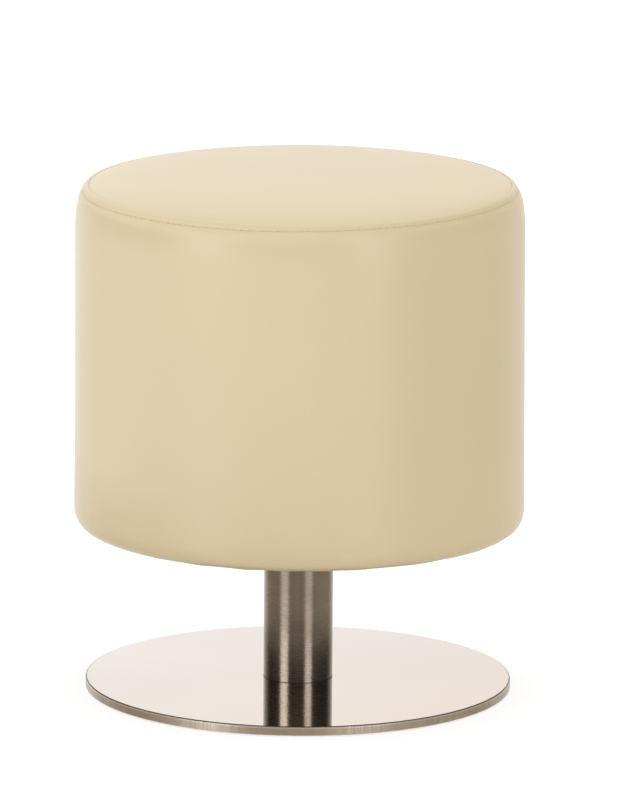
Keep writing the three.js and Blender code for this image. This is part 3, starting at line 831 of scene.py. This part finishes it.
def sideRelief(rows, below, angles, along):  # height over the plain shape, and how much painted crease shade
    relief, creaseShade = bandRelief(below, angles)
    low, high = sideShape["freeAbove"]
    free = smoothStep(rows[:, 1], drumBottom + low, drumBottom + high) * smoothStep(below, *sideShape["freeBelow"])
    relief = relief - free[:, None] * sideShape["inset"]
    relief = relief + free[:, None] * gentleWaves(angles, along, sideShape["unevenness"], sideShape["seed"])
    fromSeam = (angles - math.pi / 2)[None, :] * drumRadius
    seam = bell(fromSeam, 0.0, sideShape["backSeamWidth"] * 0.55)
    plain = smoothStep(below, 6 * mm, 8 * mm)[:, None]
    relief = relief - sideShape["backSeamDepth"] * seam * plain
    rise, place, width = sideShape["backLips"]
    relief = relief + rise * bell(np.abs(fromSeam), place, width) * plain
    far, near = sideShape["pleatsStart"]
    under = smoothStep(rows[:, 0], rollRadius - far, rollRadius - near) * (rows[:, 1] < drumBottom + 3 * mm)
    far, near = sideShape["pleatsEnd"]
    under = under * (1 - smoothStep(rows[:, 0], rollRadius - far, rollRadius - near))
    pleats = np.abs(np.sin(sideShape["hemPleats"] / 2 * angles + 0.7 * np.sin(3 * angles))) ** 1.6
    relief = relief - sideShape["pleatDepth"] * under[:, None] * pleats
    # the back seam's groove gets painted shade as well
    return relief, np.clip(creaseShade + 0.5 * seam * plain, 0, 1)


def swellSide(outer, rows, below, angles, along):  # from the foot roll to just above the stitching
    simRows = [i for i in range(len(rows)) if rows[i, 0] > 0.17 and below[i] > 7.3 * mm]
    simAngles = ringAngles(simLook["sides"])
    column = np.searchsorted(angles, simAngles) % len(angles)
    inner = revolved([(foamInner, boardTop), (foamInner, drumBottom + 4 * mm)], simAngles)
    rings = np.concatenate([outer[simRows][:, column], inner])
    last = len(simRows) - 1
    held = [0, 1, 2] + list(range(last - 3, last + 3))
    move = swell("sideSim", rings, held, sideShape["swellLimit"])[: len(simRows)]
    spread = spreadMove(move, angles[column], along[simRows], angles, along[simRows], simLook["sideWaves"])
    outer[simRows] += spread
    print("side band swelled up to", round(float(np.abs(spread).max()) * 1000, 2), "mm")


def buildSide():
    rows, below = sideOuterRows()
    normal = outward(rows)
    angles = bandAngles()
    along = arcSteps(rows)
    relief, creaseShade = sideRelief(rows, below, angles, along)
    lean = turned(normal[:, 0:1], normal[:, 1:2], angles)
    outer = revolved(rows, angles) + lean * relief[..., None]
    swellSide(outer, rows, below, angles, along)

    # fold at the seam, then the inside back to the hem
    bend, cover = drumShape["fold"], drumShape["skin"]
    up = turned(-normal[-1, 1], normal[-1, 0], angles)
    centre = outer[-1] - lean[-1] * bend
    turns = np.linspace(0, math.pi, 7)[1:]
    fold = [centre + bend * (lean[-1] * math.cos(t) + up * math.sin(t)) for t in turns]
    foldDown = revolved(shoulderInside(np.array([1.5 * mm, drumShape["seamDepth"]]), 2 * bend), angles)
    behind = [tuple(p) for p in shoulderInside(np.array([9.5, 16, 24, 32]) * mm, cover * 1.1)]
    foam = [(wallRadius - 1.4 * mm, boardTop + 0.2 * mm), (foamInner, boardTop)]
    foam += [(foamInner, z) for z in np.linspace(boardTop, drumBottom + 2.2 * mm, 6)[1:]]
    hem = [(foamInner - 1 * mm, drumBottom + cover), (drumShape["hemRadius"], drumBottom + cover)]
    inner = revolved(behind + foam + hem, angles)
    rings = settle(np.concatenate([outer, np.stack(fold), foldDown, inner]))
    mesh = ringMesh("sideBand", rings, closed=True)
    foldFrom, downFrom = len(rows), len(rows) + len(fold)
    innerFrom = downFrom + len(foldDown)
    # painted shade: the inside of the fold and the hidden sides of the seam darker
    shade = np.zeros(rings.shape[:2])
    shade[:foldFrom] = creaseShade
    shade[foldFrom:downFrom] = np.linspace(0.05, 0.3, len(fold))[:, None]
    shade[downFrom:innerFrom] = 0.3
    writeCreaseShade(mesh, shade)
    side = addObject("sideBand", mesh, "creamLeatherette", "foamPad")
    foamFrom = (innerFrom + len(behind)) * len(angles)
    numbers = np.zeros(len(mesh.polygons))
    numbers[foamFrom: foamFrom + len(foam) * len(angles)] = 1
    numberFinishes(mesh, numbers)
    sharpen(mesh, sideShape["sharpAngle"])
    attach(side, "seat")
    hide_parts("side_cover", "side_padding")
    print("side band:", len(mesh.polygons), "faces")


# Top panel over its crowned foam
topShape = {
    "unevenness": 0.10 * mm,
    "swellLimit": 0.9 * mm,
    "freeEdge": (22 * mm, 4 * mm),
    "sharpAngle": 62,
    "seed": 8,
}


def topRows():
    seam = shoulderPoint(seamAngle)
    edge = seam[0] - drumShape["fold"] - drumShape["edgeGap"]
    shares = [0.03, 0.08, 0.15, 0.24, 0.33, 0.42, 0.5, 0.58, 0.65, 0.71, 0.77, 0.82, 0.85, 0.87, 0.89, 0.907]
    shares += [0.922, 0.935, 0.946, 0.956, 0.965, 0.973, 0.98, 0.986, 0.991, 0.9945, 0.997, 0.9987, 0.9997]
    crown, power = drumShape["crown"]
    reach, drop = drumShape["edgeDrop"]
    panel = []
    for share in shares:
        over = np.clip(1 - edge * (1 - share) / reach, 0, 1)
        height = seamHeight + crown * (1 - share**power) - drop * (1 - math.sqrt(1 - over**2))
        panel.append((share * edge, height))
    sunk = [(edge + 0.03 * mm, seamHeight - drop - 0.4 * mm)]
    behind = shoulderInside(np.array([0.8, 2.2, 4.5]) * mm, 2 * drumShape["fold"] + 0.2 * mm)
    sunk += [tuple(p) for p in behind]
    neck = [tuple(p) for p in shoulderInside(np.array([10.5, 18, 26, 34]) * mm, 2.3 * mm)]
    base = [(wallRadius - 2.6 * mm, boardTop + 0.5 * mm)]
    floor = [(drumRadius * s, boardTop + 0.35 * mm) for s in (0.97, 0.8, 0.5, 0.2)]
    return np.array(panel), np.array(sunk), np.array(neck + base + floor)


def swellTop(rings, flat, angles):  # only the long waves, because the short ones would pucker the edge
    simAngles = angles[::5]
    closing = revolved([(flat[-1] * s, seamHeight - 5 * mm) for s in (1.0, 0.5, 0.1)], simAngles)
    count = len(flat)
    skin = np.concatenate([rings[:count][:, ::5], closing])
    held = list(range(count - 4, count + 3))
    move = swell("topSim", skin, held, topShape["swellLimit"], poles=(True, True), closed=False)[:count]
    spread = spreadMove(move, simAngles, flat, angles, flat, simLook["topWaves"])
    rings[:count] += spread
    print("top panel swelled up to", round(float(np.abs(spread).max()) * 1000, 2), "mm")


def buildTop():
    panel, sunk, under = topRows()
    angles = ringAngles(drumShape["sides"] // 2)
    rows = np.concatenate([panel, sunk, under])
    rings = revolved(rows, angles)
    flat = panel[:, 0]
    far, near = topShape["freeEdge"]
    free = 1 - smoothStep(flat, flat[-1] - far, flat[-1] - near)
    waves = gentleWaves(angles, flat * 5, topShape["unevenness"], topShape["seed"])
    rings[: len(panel), :, 2] += (free * smoothStep(flat, 0.0, 40 * mm))[:, None] * waves
    swellTop(rings, flat, angles)
    settle(rings)
    mesh = ringMesh("topPanel", rings, poles=(True, True))
    # painted shade: the panel's edge at the seam and its sunk rows darker
    shade = np.zeros(rings.shape[:2])
    shade[: len(panel)] = 0.05 * bell(flat[-1] - flat, 0.0, 0.8 * mm)[:, None]
    shade[len(panel): len(panel) + len(sunk)] = 0.3
    writeCreaseShade(mesh, shade)
    top = addObject("topPanel", mesh, "creamLeatherette", "foamPad")
    leatherRows = len(panel) + len(sunk) - 1
    numbers = np.zeros(len(mesh.polygons))
    numbers[leatherRows * len(angles): (len(rows) - 1) * len(angles)] = 1
    numbers[-len(angles):] = 1
    numberFinishes(mesh, numbers)
    sharpen(mesh, topShape["sharpAngle"])
    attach(top, "seat")
    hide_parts("top_cover", "top_padding")
    print("top panel:", len(mesh.polygons), "faces")


# Geometry Nodes: a bead or a staple on each point, laid along the point's own direction
def buildPathTree(name, shapeName):
    tree, given, out = newGroup(
        name,
        [
            ("Geometry", "NodeSocketGeometry", None),
            ("Length", "NodeSocketFloat", 3 * mm),
            ("Width", "NodeSocketFloat", 1 * mm),
            ("Height", "NodeSocketFloat", 0.5 * mm),
            ("Variation", "NodeSocketFloat", 0.1),
            ("Seed", "NodeSocketInt", 1),
            ("Material", "NodeSocketMaterial", None),
        ],
        [("Geometry", "NodeSocketGeometry")],
        "GeometryNodeTree",
    )
    sizes = {"X": given["Length"], "Y": given["Width"], "Z": given["Height"]}
    size = addNode(tree, "ShaderNodeCombineXYZ", sizes).outputs[0]
    if shapeName == "bead":
        ball = addNode(tree, "GeometryNodeMeshUVSphere", {"Segments": 8, "Rings": 6, "Radius": 0.5})
        drawn = {"Geometry": ball.outputs["Mesh"], "Scale": size}
        shape = addNode(tree, "GeometryNodeTransform", drawn).outputs["Geometry"]
    else:
        shape = addNode(tree, "GeometryNodeMeshCube", {"Size": size}).outputs["Mesh"]
    read = {}
    for label in ("direction", "face"):
        node = addNode(tree, "GeometryNodeInputNamedAttribute", {"Name": label}, data_type="FLOAT_VECTOR")
        read[label] = node.outputs["Attribute"]
    first = addNode(tree, "FunctionNodeAlignRotationToVector", {"Vector": read["direction"]}, axis="X")
    second = addNode(
        tree,
        "FunctionNodeAlignRotationToVector",
        {"Rotation": first.outputs[0], "Vector": read["face"]},
        axis="Z",
        pivot_axis="X",
    )
    low = calc(tree, "SUBTRACT", 1.0, given["Variation"])
    high = calc(tree, "ADD", 1.0, given["Variation"])
    grow = addNode(tree, "FunctionNodeRandomValue", {2: low, 3: high, "Seed": given["Seed"]}, data_type="FLOAT")
    laid = addNode(
        tree,
        "GeometryNodeInstanceOnPoints",
        {
            "Points": given["Geometry"],
            "Instance": shape,
            "Rotation": second.outputs[0],
            "Scale": grow.outputs[1],
        },
    ).outputs["Instances"]
    real = addNode(tree, "GeometryNodeRealizeInstances", {"Geometry": laid}).outputs["Geometry"]
    smooth = {"Geometry": real, "Shade Smooth": shapeName == "bead"}
    shaded = addNode(tree, "GeometryNodeSetShadeSmooth", smooth).outputs["Geometry"]
    coated = {"Geometry": shaded, "Material": given["Material"]}
    dressed = addNode(tree, "GeometryNodeSetMaterial", coated)
    tree.links.new(dressed.outputs["Geometry"], out["Geometry"])
    return tree


def alongPath(name, tree, points, directions, faces, values, body, slot):
    mesh = bpy.data.meshes.new(name)
    mesh.from_pydata(np.asarray(points).tolist(), [], [])
    for label, vectors in (("direction", directions), ("face", faces)):
        layer = mesh.attributes.new(label, "FLOAT_VECTOR", "POINT")
        layer.data.foreach_set("vector", np.asarray(vectors, np.float32).ravel())
    carrier = addObject(name + "Path", mesh)
    modifier = carrier.modifiers.new("run", "NODES")
    modifier.node_group = tree
    sockets = {s.name: s.identifier for s in tree.interface.items_tree if s.in_out == "INPUT"}
    for label, value in values.items():
        modifier[sockets[label]] = finishes[value] if label == "Material" else value
    made = evaluatedMesh(carrier)
    made.name = name
    bpy.data.objects.remove(carrier)
    piece = addObject(name, made)
    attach(piece, body)
    print(name + ":", len(made.polygons), "faces")


def stitchRun(shift, lift):  # places, directions and faces of the stitches, shift being a share of the pitch
    count = drumShape["stitches"]
    angles = (np.arange(count) + shift) / count * 2 * math.pi
    at = stitchShape["below"] + stitchSway(angles)
    rows = shoulderAt(at)
    step = stitchShape["step"]
    tangent = shoulderAt(at - step) - shoulderAt(at + step)
    tangent /= np.linalg.norm(tangent, axis=1)[:, None]
    normal = np.stack([tangent[:, 1], -tangent[:, 0]], axis=-1)
    rows = rows + normal * lift
    turn = np.stack([np.cos(angles), np.sin(angles)], axis=-1)
    points = settle(np.concatenate([rows[:, 0:1] * turn, rows[:, 1:2]], axis=1))
    slant = np.gradient(points[:, 2]) / (np.gradient(angles) * rows[:, 0])
    directions = np.stack([-turn[:, 1], turn[:, 0], slant], axis=-1)
    faces = np.concatenate([normal[:, 0:1] * turn, normal[:, 1:2]], axis=1)
    return points, directions, faces


def buildStitching(beads):
    shape = stitchShape
    thread = stitchRun(0.5, -shape["groove"] + shape["threadLift"])
    alongPath("topstitchThread", beads, *thread, {
        "Length": shape["length"], "Width": shape["thickness"], "Height": shape["thickness"],
        "Variation": 0.06, "Seed": 3, "Material": "threadCream"}, "seat", "leatherette")
    # dark marks laid in the needle holes: painted shade
    holeShades = stitchRun(0.0, -shape["groove"] - shape["holeShadeSink"])
    alongPath("topstitchHoleShades", beads, *holeShades, {
        "Length": shape["holeShadeLength"], "Width": shape["holeShadeWidth"], "Height": shape["holeShadeHeight"],
        "Variation": 0.22, "Seed": 7, "Material": "needleHoleShade"}, "seat", "leatherette")


# Dust cloth under the drum, and the staples that hold it
dustShape = {
    "sides": 208,
    "ripple": 0.08 * mm,
    "rippleLimit": 0.12 * mm,
    "thickness": 0.35 * mm,
    "boltHole": 4.6 * mm,
    "sharpAngle": 50,
    "staples": 52,
    "staple": (9.5 * mm, 1.1 * mm, 0.55 * mm),
    "stapleSink": 0.25 * mm,
    "inset": 6 * mm,
    "seed": 21,
}


def buildDustCloth(staples):
    low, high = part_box("dust_cover")
    edge = high.x
    middle = (low.z + high.z) / 2
    angles = ringAngles(dustShape["sides"])
    shares = np.array([0.03, 0.1, 0.2, 0.3, 0.4, 0.5, 0.6, 0.7, 0.78, 0.85, 0.9, 0.94, 0.97, 0.99, 1.0])
    wave = gentleWaves(angles * 2, shares, dustShape["ripple"], dustShape["seed"])
    nearEdge = smoothStep(shares, 0.8, 1.0)[:, None]
    tug = dustShape["ripple"] * np.cos(dustShape["staples"] * angles)[None, :] * nearEdge
    top = revolved([(s * edge, middle + dustShape["thickness"] / 2) for s in shares], angles)
    top[..., 2] += np.clip(wave + tug, -dustShape["rippleLimit"], dustShape["rippleLimit"])
    bottom = top.copy()
    bottom[..., 2] -= dustShape["thickness"]
    mesh = ringMesh("dustCloth", np.concatenate([top, bottom[::-1]]), poles=(True, True))
    cloth = addObject("dustCloth", mesh, "dustCloth")
    cutBoltHoles(cloth, middle)
    sharpen(cloth.data, dustShape["sharpAngle"])
    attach(cloth, "seat")
    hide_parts("dust_cover")
    count = dustShape["staples"]
    rng = np.random.default_rng(dustShape["seed"])
    around = (np.arange(count) + rng.uniform(-0.12, 0.12, count)) / count * 2 * math.pi
    radius = edge - dustShape["inset"] + rng.uniform(-1.0, 1.0, count) * mm
    tilt = around + math.pi / 2 + rng.uniform(-0.14, 0.14, count)
    under = middle - dustShape["thickness"] / 2 - dustShape["stapleSink"]
    points = np.stack([radius * np.cos(around), radius * np.sin(around), np.full(count, under)], -1)
    directions = np.stack([np.cos(tilt), np.sin(tilt), 0 * tilt], -1)
    faces = np.tile([0.0, 0.0, -1.0], (count, 1))
    length, width, height = dustShape["staple"]
    alongPath("dustStaples", staples, points, directions, faces, {
        "Length": length, "Width": width, "Height": height,
        "Variation": 0.0, "Seed": 2, "Material": "zincSteel"}, "seat", "zinc_steel")


def cutBoltHoles(cloth, middle):
    low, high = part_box("seat_bolt_1")
    wide, deep = abs(low.x + high.x) / 2, abs(low.y + high.y) / 2
    radius, reach = dustShape["boltHole"], 3 * mm
    drill = revolved([(radius, middle - reach), (radius, middle + reach)], ringAngles(20))
    cutters = []
    for x, y in ((-wide, -deep), (-wide, deep), (wide, -deep), (wide, deep)):
        cutter = addObject("cutter", ringMesh("cutter", drill + np.array([x, y, 0]), poles=(True, True)))
        cutters.append(cutter)
        cut = cloth.modifiers.new("hole" + str(len(cutters)), "BOOLEAN")
        cut.object = cutter
        cut.operation = "DIFFERENCE"
        cut.solver = "EXACT"
    applyModifiers(cloth)
    for cutter in cutters:
        bpy.data.objects.remove(cutter)


# Turned and pressed steel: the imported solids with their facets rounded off
def smoothCopy(node, name, body, finish, degrees=32):
    # triangles of one flat are joined, and a level face keeps its own normal up to its rounded edge
    shape = bmesh.new()
    shape.from_mesh(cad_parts[node].data)
    bmesh.ops.remove_doubles(shape, verts=shape.verts, dist=0.01 * mm)
    bmesh.ops.dissolve_limit(
        shape,
        angle_limit=math.radians(0.3),
        use_dissolve_boundaries=False,
        verts=shape.verts,
        edges=shape.edges,
    )
    for face in shape.faces:
        face.smooth = True
        face.material_index = 0
    for edge in shape.edges:
        if len(edge.link_faces) == 2:
            level = [abs(face.normal.z) > 0.9999 for face in edge.link_faces]
            edge.smooth = level[0] == level[1] and edge.calc_face_angle(0.0) < math.radians(degrees)
    mesh = bpy.data.meshes.new(name)
    shape.to_mesh(mesh)
    shape.free()
    if "custom_normal" in mesh.attributes:
        mesh.attributes.remove(mesh.attributes["custom_normal"])
    piece = addObject(name, mesh, *finish)
    even = piece.modifiers.new("evenNormals", "WEIGHTED_NORMAL")
    even.keep_sharp = True
    even.weight = 80
    applyModifiers(piece)
    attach(piece, body)
    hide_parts(node)
    return piece


def buildBase():
    low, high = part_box("base_plate")
    plate = smoothCopy("base_plate", "basePlate", "base",
                       ("polishedSteel", "brushedRim", "machinedSteel", "bevelDarkReflection"))
    mesh = plate.data
    lean = readVectors(mesh.polygons, "normal")[:, 2]
    centres = readVectors(mesh.polygons, "center")
    reach = np.hypot(centres[:, 0], centres[:, 1])
    top, rim, underside, edge = range(4)  # places of the four finishes
    numbers = np.where(reach > high.x * 0.97, rim, underside)
    # bevel faces take the painted dark reflection
    numbers = np.where(lean > 0.99, top, np.where(lean > 0.6, edge, numbers))
    numbers[(centres[:, 2] < low.z + 0.4 * mm) & (lean < -0.5)] = underside
    numberFinishes(mesh, numbers)
    smoothCopy("column_tube", "columnTube", "base", ("brushedColumn",))
    smoothCopy("bearing_housing", "bearingHousing", "base", ("machinedSteel",))
    smoothCopy("spindle", "turnedSpindle", "seat", ("machinedSteel",))
    smoothCopy("seat_plate", "seatPlate", "seat", ("blackPaint",))
    smoothCopy("floor_ring", "floorRing", "base", ("floorRubber",))


# Thin dark line where the column meets the plate
footLineShape = {"width": 0.22 * mm, "height": 0.3 * mm, "sunk": 0.3 * mm, "lift": 0.02 * mm, "sides": 96}


def buildFootLine():
    low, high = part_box("column_tube")
    wide, tall = footLineShape["width"], footLineShape["height"]
    inside, bottom = high.x - footLineShape["sunk"], low.z + footLineShape["lift"]
    rows = [(inside, bottom), (high.x + wide, bottom), (high.x + wide * 0.75, low.z + tall * 0.6)]
    rows += [(high.x + wide * 0.3, low.z + tall), (inside, low.z + tall)]
    mesh = ringMesh("footLine", revolved(rows, ringAngles(footLineShape["sides"])), closed=True)
    line = addObject("footLine", mesh, "floorRubber")
    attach(line, "base")


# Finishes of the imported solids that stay
nodeFinishes = {
    "column_foot": "machinedSteel",
    "foot_screw": "zincSteel",
    "upper_bush": "bushBronze",
    "lower_bush": "bushBronze",
    "lower_race": "bearingSteel",
    "upper_race": "bearingSteel",
    "ball_cage": "bearingSteel",
    "bearing_ball": "bearingSteel",
    "spindle_washer": "zincSteel",
    "spindle_circlip": "blackPaint",
    "seat_washer": "zincSteel",
    "seat_bolt": "zincSteel",
    "tee_nut": "zincSteel",
    "bottom_board": "plywood",
    "top_board": "plywood",
    "upright_batten": "plywood",
    "drum_wall": "hardboard",
}


def dressNodes():
    for name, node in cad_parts.items():
        finish = nodeFinishes.get(name.rstrip("0123456789").rstrip("_"), nodeFinishes.get(name))
        if finish:
            node.data.materials.clear()
            node.data.materials.append(finishes[finish])


# Floor, backdrop and light
studioLook = {
    "fill": (0.67, 1.35),
    "fillSlant": 0.06,
    "fillColour": (1.0, 0.985, 0.96, 1.0),
    "backdrop": (1.0, 1.0, 1.0, 1.0),
    "mirrorLeft": (1.0, 0.995, 0.985, 1.0),
    "mirrorRight": (0.975, 0.925, 0.905, 1.0),
    "mirrorTint": ((0.231, 0.246), (0.250, 0.280), (0.96, 0.94, 0.90, 1.0)),
    "mirrorFade": (0.22, 0.55, 0.66),
    "mirrorEnd": (0.0, 0.35, 0.7),
    "mirrorTurn": ((-168, -105), (105, 172)),
    "overhead": (0.80, 0.79, 0.77, 1.0),
    "darkAbove": (0.022, 0.020, 0.017, 1.0),
    "darkBelow": (0.46, 0.40, 0.31, 1.0),
    "panel": (1.0, 1.0, 1.0, 1.0),
    "panels": ((-61, -34, 0.62, 0.0), (22, 48, 0.46, 0.0), (-9, 2, 0.10, 0.04), (62, 112, 0.10, 0.0)),
    "panelEdge": 5,
    "card": {
        "low": (0.21, 4.0, 0.13), "wall": (0.6, 0.50, 0.90), "azimuth": (-160, 140), "lit": (0.43, 0.45),
        "rise": (-130, -80, 0.13, 1.0), "fall": (-5, 58), "strength": 1.85, "wallShare": 0.7,
        "under": (-138, -118, 118, 138), "underStrength": 0.3,
    },
    "lamps": (
        {"name": "keyPanel", "azimuth": -47.5, "height": 1.1, "distance": 4.0, "size": (1.8, 3.0),
         "radiance": 2.1},
        {"name": "fillPanel", "azimuth": 35, "height": 1.1, "distance": 4.0, "size": (1.5, 3.0),
         "radiance": 1.6},
        {"name": "sidePanel", "azimuth": -125, "height": 1.0, "distance": 3.0, "size": (1.0, 2.0),
         "radiance": 2.0},
    ),
}


def buildWorld():
    look = studioLook
    scene.world = bpy.data.worlds.new("studio")
    tree = emptyTree(scene.world)
    direction = addNode(tree, "ShaderNodeTexCoord").outputs["Generated"]
    split = addNode(tree, "ShaderNodeSeparateXYZ", {"Vector": direction})
    toFront = calc(tree, "MULTIPLY", split.outputs["Y"], -1.0)
    azimuth = calc(tree, "DEGREES", calc(tree, "ARCTAN2", split.outputs["X"], toFront))
    ray = addNode(tree, "ShaderNodeLightPath").outputs
    above = ramp(tree, split.outputs["Z"], -0.10, 0.03)
    front = mixColour(tree, above, look["darkBelow"], look["darkAbove"])
    for left, right, below, over in look["panels"]:
        opened = ramp(tree, azimuth, left - look["panelEdge"], left + look["panelEdge"])
        shut = ramp(tree, azimuth, right - look["panelEdge"], right + look["panelEdge"], 1.0, 0.0)
        strength = calc(tree, "MULTIPLY_ADD", above, over - below, below)
        lit = calc(tree, "MULTIPLY", calc(tree, "MULTIPLY", opened, shut), strength)
        front = mixColour(tree, lit, front, look["panel"], "ADD")
    leftTurn, rightTurn = look["mirrorTurn"]
    around = calc(tree, "MAXIMUM", ramp(tree, azimuth, *leftTurn, 1.0, 0.0), ramp(tree, azimuth, *rightTurn))
    across = ramp(tree, split.outputs["X"], -0.03, 0.03)
    back = mixColour(tree, across, look["mirrorLeft"], look["mirrorRight"])
    tintIn, tintOut, tint = look["mirrorTint"]
    back = mixColour(tree, window(tree, split.outputs["Z"], tintIn, tintOut), back, tint, "MULTIPLY")
    fadeLow, fadeHigh, faded = look["mirrorFade"]
    fade = ramp(tree, split.outputs["Z"], fadeLow, fadeHigh, 0.0, 1.0 - faded)
    endLow, endHigh, ended = look["mirrorEnd"]
    right = ramp(tree, split.outputs["X"], endLow, endHigh, 0.0, ended)
    right = calc(tree, "MULTIPLY", right, ramp(tree, split.outputs["Z"], 0.24, 0.42))
    fade = calc(tree, "MAXIMUM", fade, right)
    back = mixColour(tree, fade, back, (0.0, 0.0, 0.0, 1.0))
    seen = mixColour(tree, around, front, back)
    overhead = ramp(tree, split.outputs["Z"], 0.55, 0.85)
    seen = mixColour(tree, overhead, seen, look["overhead"])
    glossy = addNode(tree, "ShaderNodeBackground", {"Color": seen, "Strength": 1.0})
    level = ramp(tree, split.outputs["Z"], 0.0, 1.0, *look["fill"], kind="LINEAR")
    slant = calc(tree, "MULTIPLY_ADD", split.outputs["X"], look["fillSlant"], 1.0)
    level = calc(tree, "MULTIPLY", level, slant)
    light = addNode(tree, "ShaderNodeBackground", {"Color": look["fillColour"], "Strength": level})
    white = addNode(tree, "ShaderNodeBackground", {"Color": look["backdrop"], "Strength": 1.0})
    mirrored = mixShader(tree, ray["Is Glossy Ray"], light, glossy)
    direct = calc(tree, "MAXIMUM", ray["Is Camera Ray"], ray["Is Transmission Ray"])
    showSurface(tree, mixShader(tree, direct, mirrored, white), "ShaderNodeOutputWorld")


def addPanel(name, azimuth, height, distance, size, radiance):
    data = bpy.data.lights.new(name, "AREA")
    data.shape = "RECTANGLE"
    data.size, data.size_y = size
    data.energy = radiance * math.pi * size[0] * size[1]
    data.color = (1.0, 0.99, 0.97)
    lamp = bpy.data.objects.new(name, data)
    scene.collection.objects.link(lamp)
    turn = math.radians(azimuth)
    place = Vector((distance * math.sin(turn), -distance * math.cos(turn), height))
    lamp.location = place
    lamp.rotation_euler = (place - Vector((0, 0, 0.3))).to_track_quat("Z", "Y").to_euler()
    matt = name == "sidePanel"  # one lamp only shades, the others only shine
    lamp.visible_diffuse, lamp.visible_glossy = matt, not matt


# Pale cards below and in front of the drum, which only glossy surfaces see: the soft sheen on its left half
def buildCard():
    look = studioLook["card"]
    near, far, level = look["low"]
    reach, low, high = look["wall"]
    turns = np.radians(np.linspace(*look["azimuth"], 57))
    rows = ((near, level), (far, level), (reach, low), (reach, high))
    ring = [(r * math.sin(t), -r * math.cos(t), z) for r, z in rows for t in turns]
    count = len(turns)
    faces = []
    for start in (0, 2 * count):
        faces += [(i, i + 1, i + count + 1, i + count) for i in range(start, start + count - 1)]
    mesh = bpy.data.meshes.new("sheenCard")
    mesh.from_pydata(ring, [], faces)
    card = bpy.data.objects.new("sheenCard", mesh)
    scene.collection.objects.link(card)
    material = bpy.data.materials.new("sheenCard")
    material.use_nodes = True
    tree = material.node_tree
    tree.nodes.clear()
    place = addNode(tree, "ShaderNodeTexCoord").outputs["Object"]
    split = addNode(tree, "ShaderNodeSeparateXYZ", {"Vector": place})
    toFront = calc(tree, "MULTIPLY", split.outputs["Y"], -1.0)
    azimuth = calc(tree, "DEGREES", calc(tree, "ARCTAN2", split.outputs["X"], toFront))
    opened = ramp(tree, azimuth, *look["rise"])
    shut = ramp(tree, azimuth, *look["fall"], 1.0, 0.0)
    wallStrength = look["strength"] * look["wallShare"]
    strength = ramp(tree, split.outputs["Z"], 0.2, 0.4, look["strength"], wallStrength)
    inside = addNode(tree, "ShaderNodeNewGeometry").outputs["Backfacing"]
    distance = addNode(tree, "ShaderNodeVectorMath", {0: place}, operation="LENGTH").outputs["Value"]
    mask = calc(tree, "MULTIPLY", calc(tree, "MULTIPLY", opened, shut), ramp(tree, distance, *look["lit"]))
    underLeft = ramp(tree, azimuth, *look["under"][:2])
    underRight = ramp(tree, azimuth, *look["under"][2:], 1.0, 0.0)
    first = ramp(tree, addNode(tree, "ShaderNodeLightPath").outputs["Ray Depth"], 1.2, 1.8, 1.0, 0.0)
    under = calc(tree, "MULTIPLY", calc(tree, "MULTIPLY", underLeft, underRight), first)
    mask = calc(tree, "MULTIPLY_ADD", inside, calc(tree, "SUBTRACT", mask, under), under)
    shift = calc(tree, "SUBTRACT", strength, look["underStrength"])
    strength = calc(tree, "MULTIPLY_ADD", inside, shift, look["underStrength"])
    clear = addNode(tree, "ShaderNodeBsdfTransparent")
    glow = addNode(tree, "ShaderNodeEmission", {"Color": studioLook["fillColour"], "Strength": strength})
    showSurface(tree, mixShader(tree, mask, clear, glow))
    mesh.materials.append(material)
    for kind in ("camera", "diffuse", "transmission", "shadow", "volume_scatter"):
        setattr(card, "visible_" + kind, False)


def buildFloor():
    half = 9.0
    mesh = bpy.data.meshes.new("floor")
    corners = [(-half, -half, 0), (half, -half, 0), (half, half, 0), (-half, half, 0)]
    mesh.from_pydata(corners, [], [(0, 1, 2, 3)])
    floor = bpy.data.objects.new("floor", mesh)
    scene.collection.objects.link(floor)
    material = bpy.data.materials.new("paleFloor")
    material.use_nodes = True
    tree = material.node_tree
    tree.nodes.clear()
    ray = addNode(tree, "ShaderNodeLightPath").outputs
    cloud = useGroup(tree, unevenColour, {
        "Vector": addNode(tree, "ShaderNodeTexCoord").outputs["Object"], "Color": (0.78, 0.78, 0.78, 1.0),
        "Scale": 3.0, "Amount": 0.01})
    matt = addNode(tree, "ShaderNodeBsdfDiffuse", {"Color": cloud["Color"]})
    shaded = addNode(tree, "ShaderNodeBsdfDiffuse", {"Color": (0.42, 0.42, 0.42, 1.0)})
    glow = addNode(tree, "ShaderNodeEmission", {"Color": (1.0, 1.0, 1.0, 1.0), "Strength": 0.66})
    pale = addNode(tree, "ShaderNodeAddShader", {0: shaded.outputs[0], 1: glow.outputs[0]})
    showSurface(tree, mixShader(tree, ray["Is Camera Ray"], matt, pale))
    mesh.materials.append(material)
    floor.visible_glossy = False


buildCamera()
buildWorld()
buildFloor()
buildCard()
for lamp in studioLook["lamps"]:
    addPanel(**lamp)
scene.view_settings.view_transform = "Standard"
print("camera, floor and light")

dressNodes()
buildBase()
buildFootLine()
print("steel and wood")
buildSide()
buildTop()
buildStitching(buildPathTree("beadsAlongPath", "bead"))
buildDustCloth(buildPathTree("staplesAlongPath", "staple"))
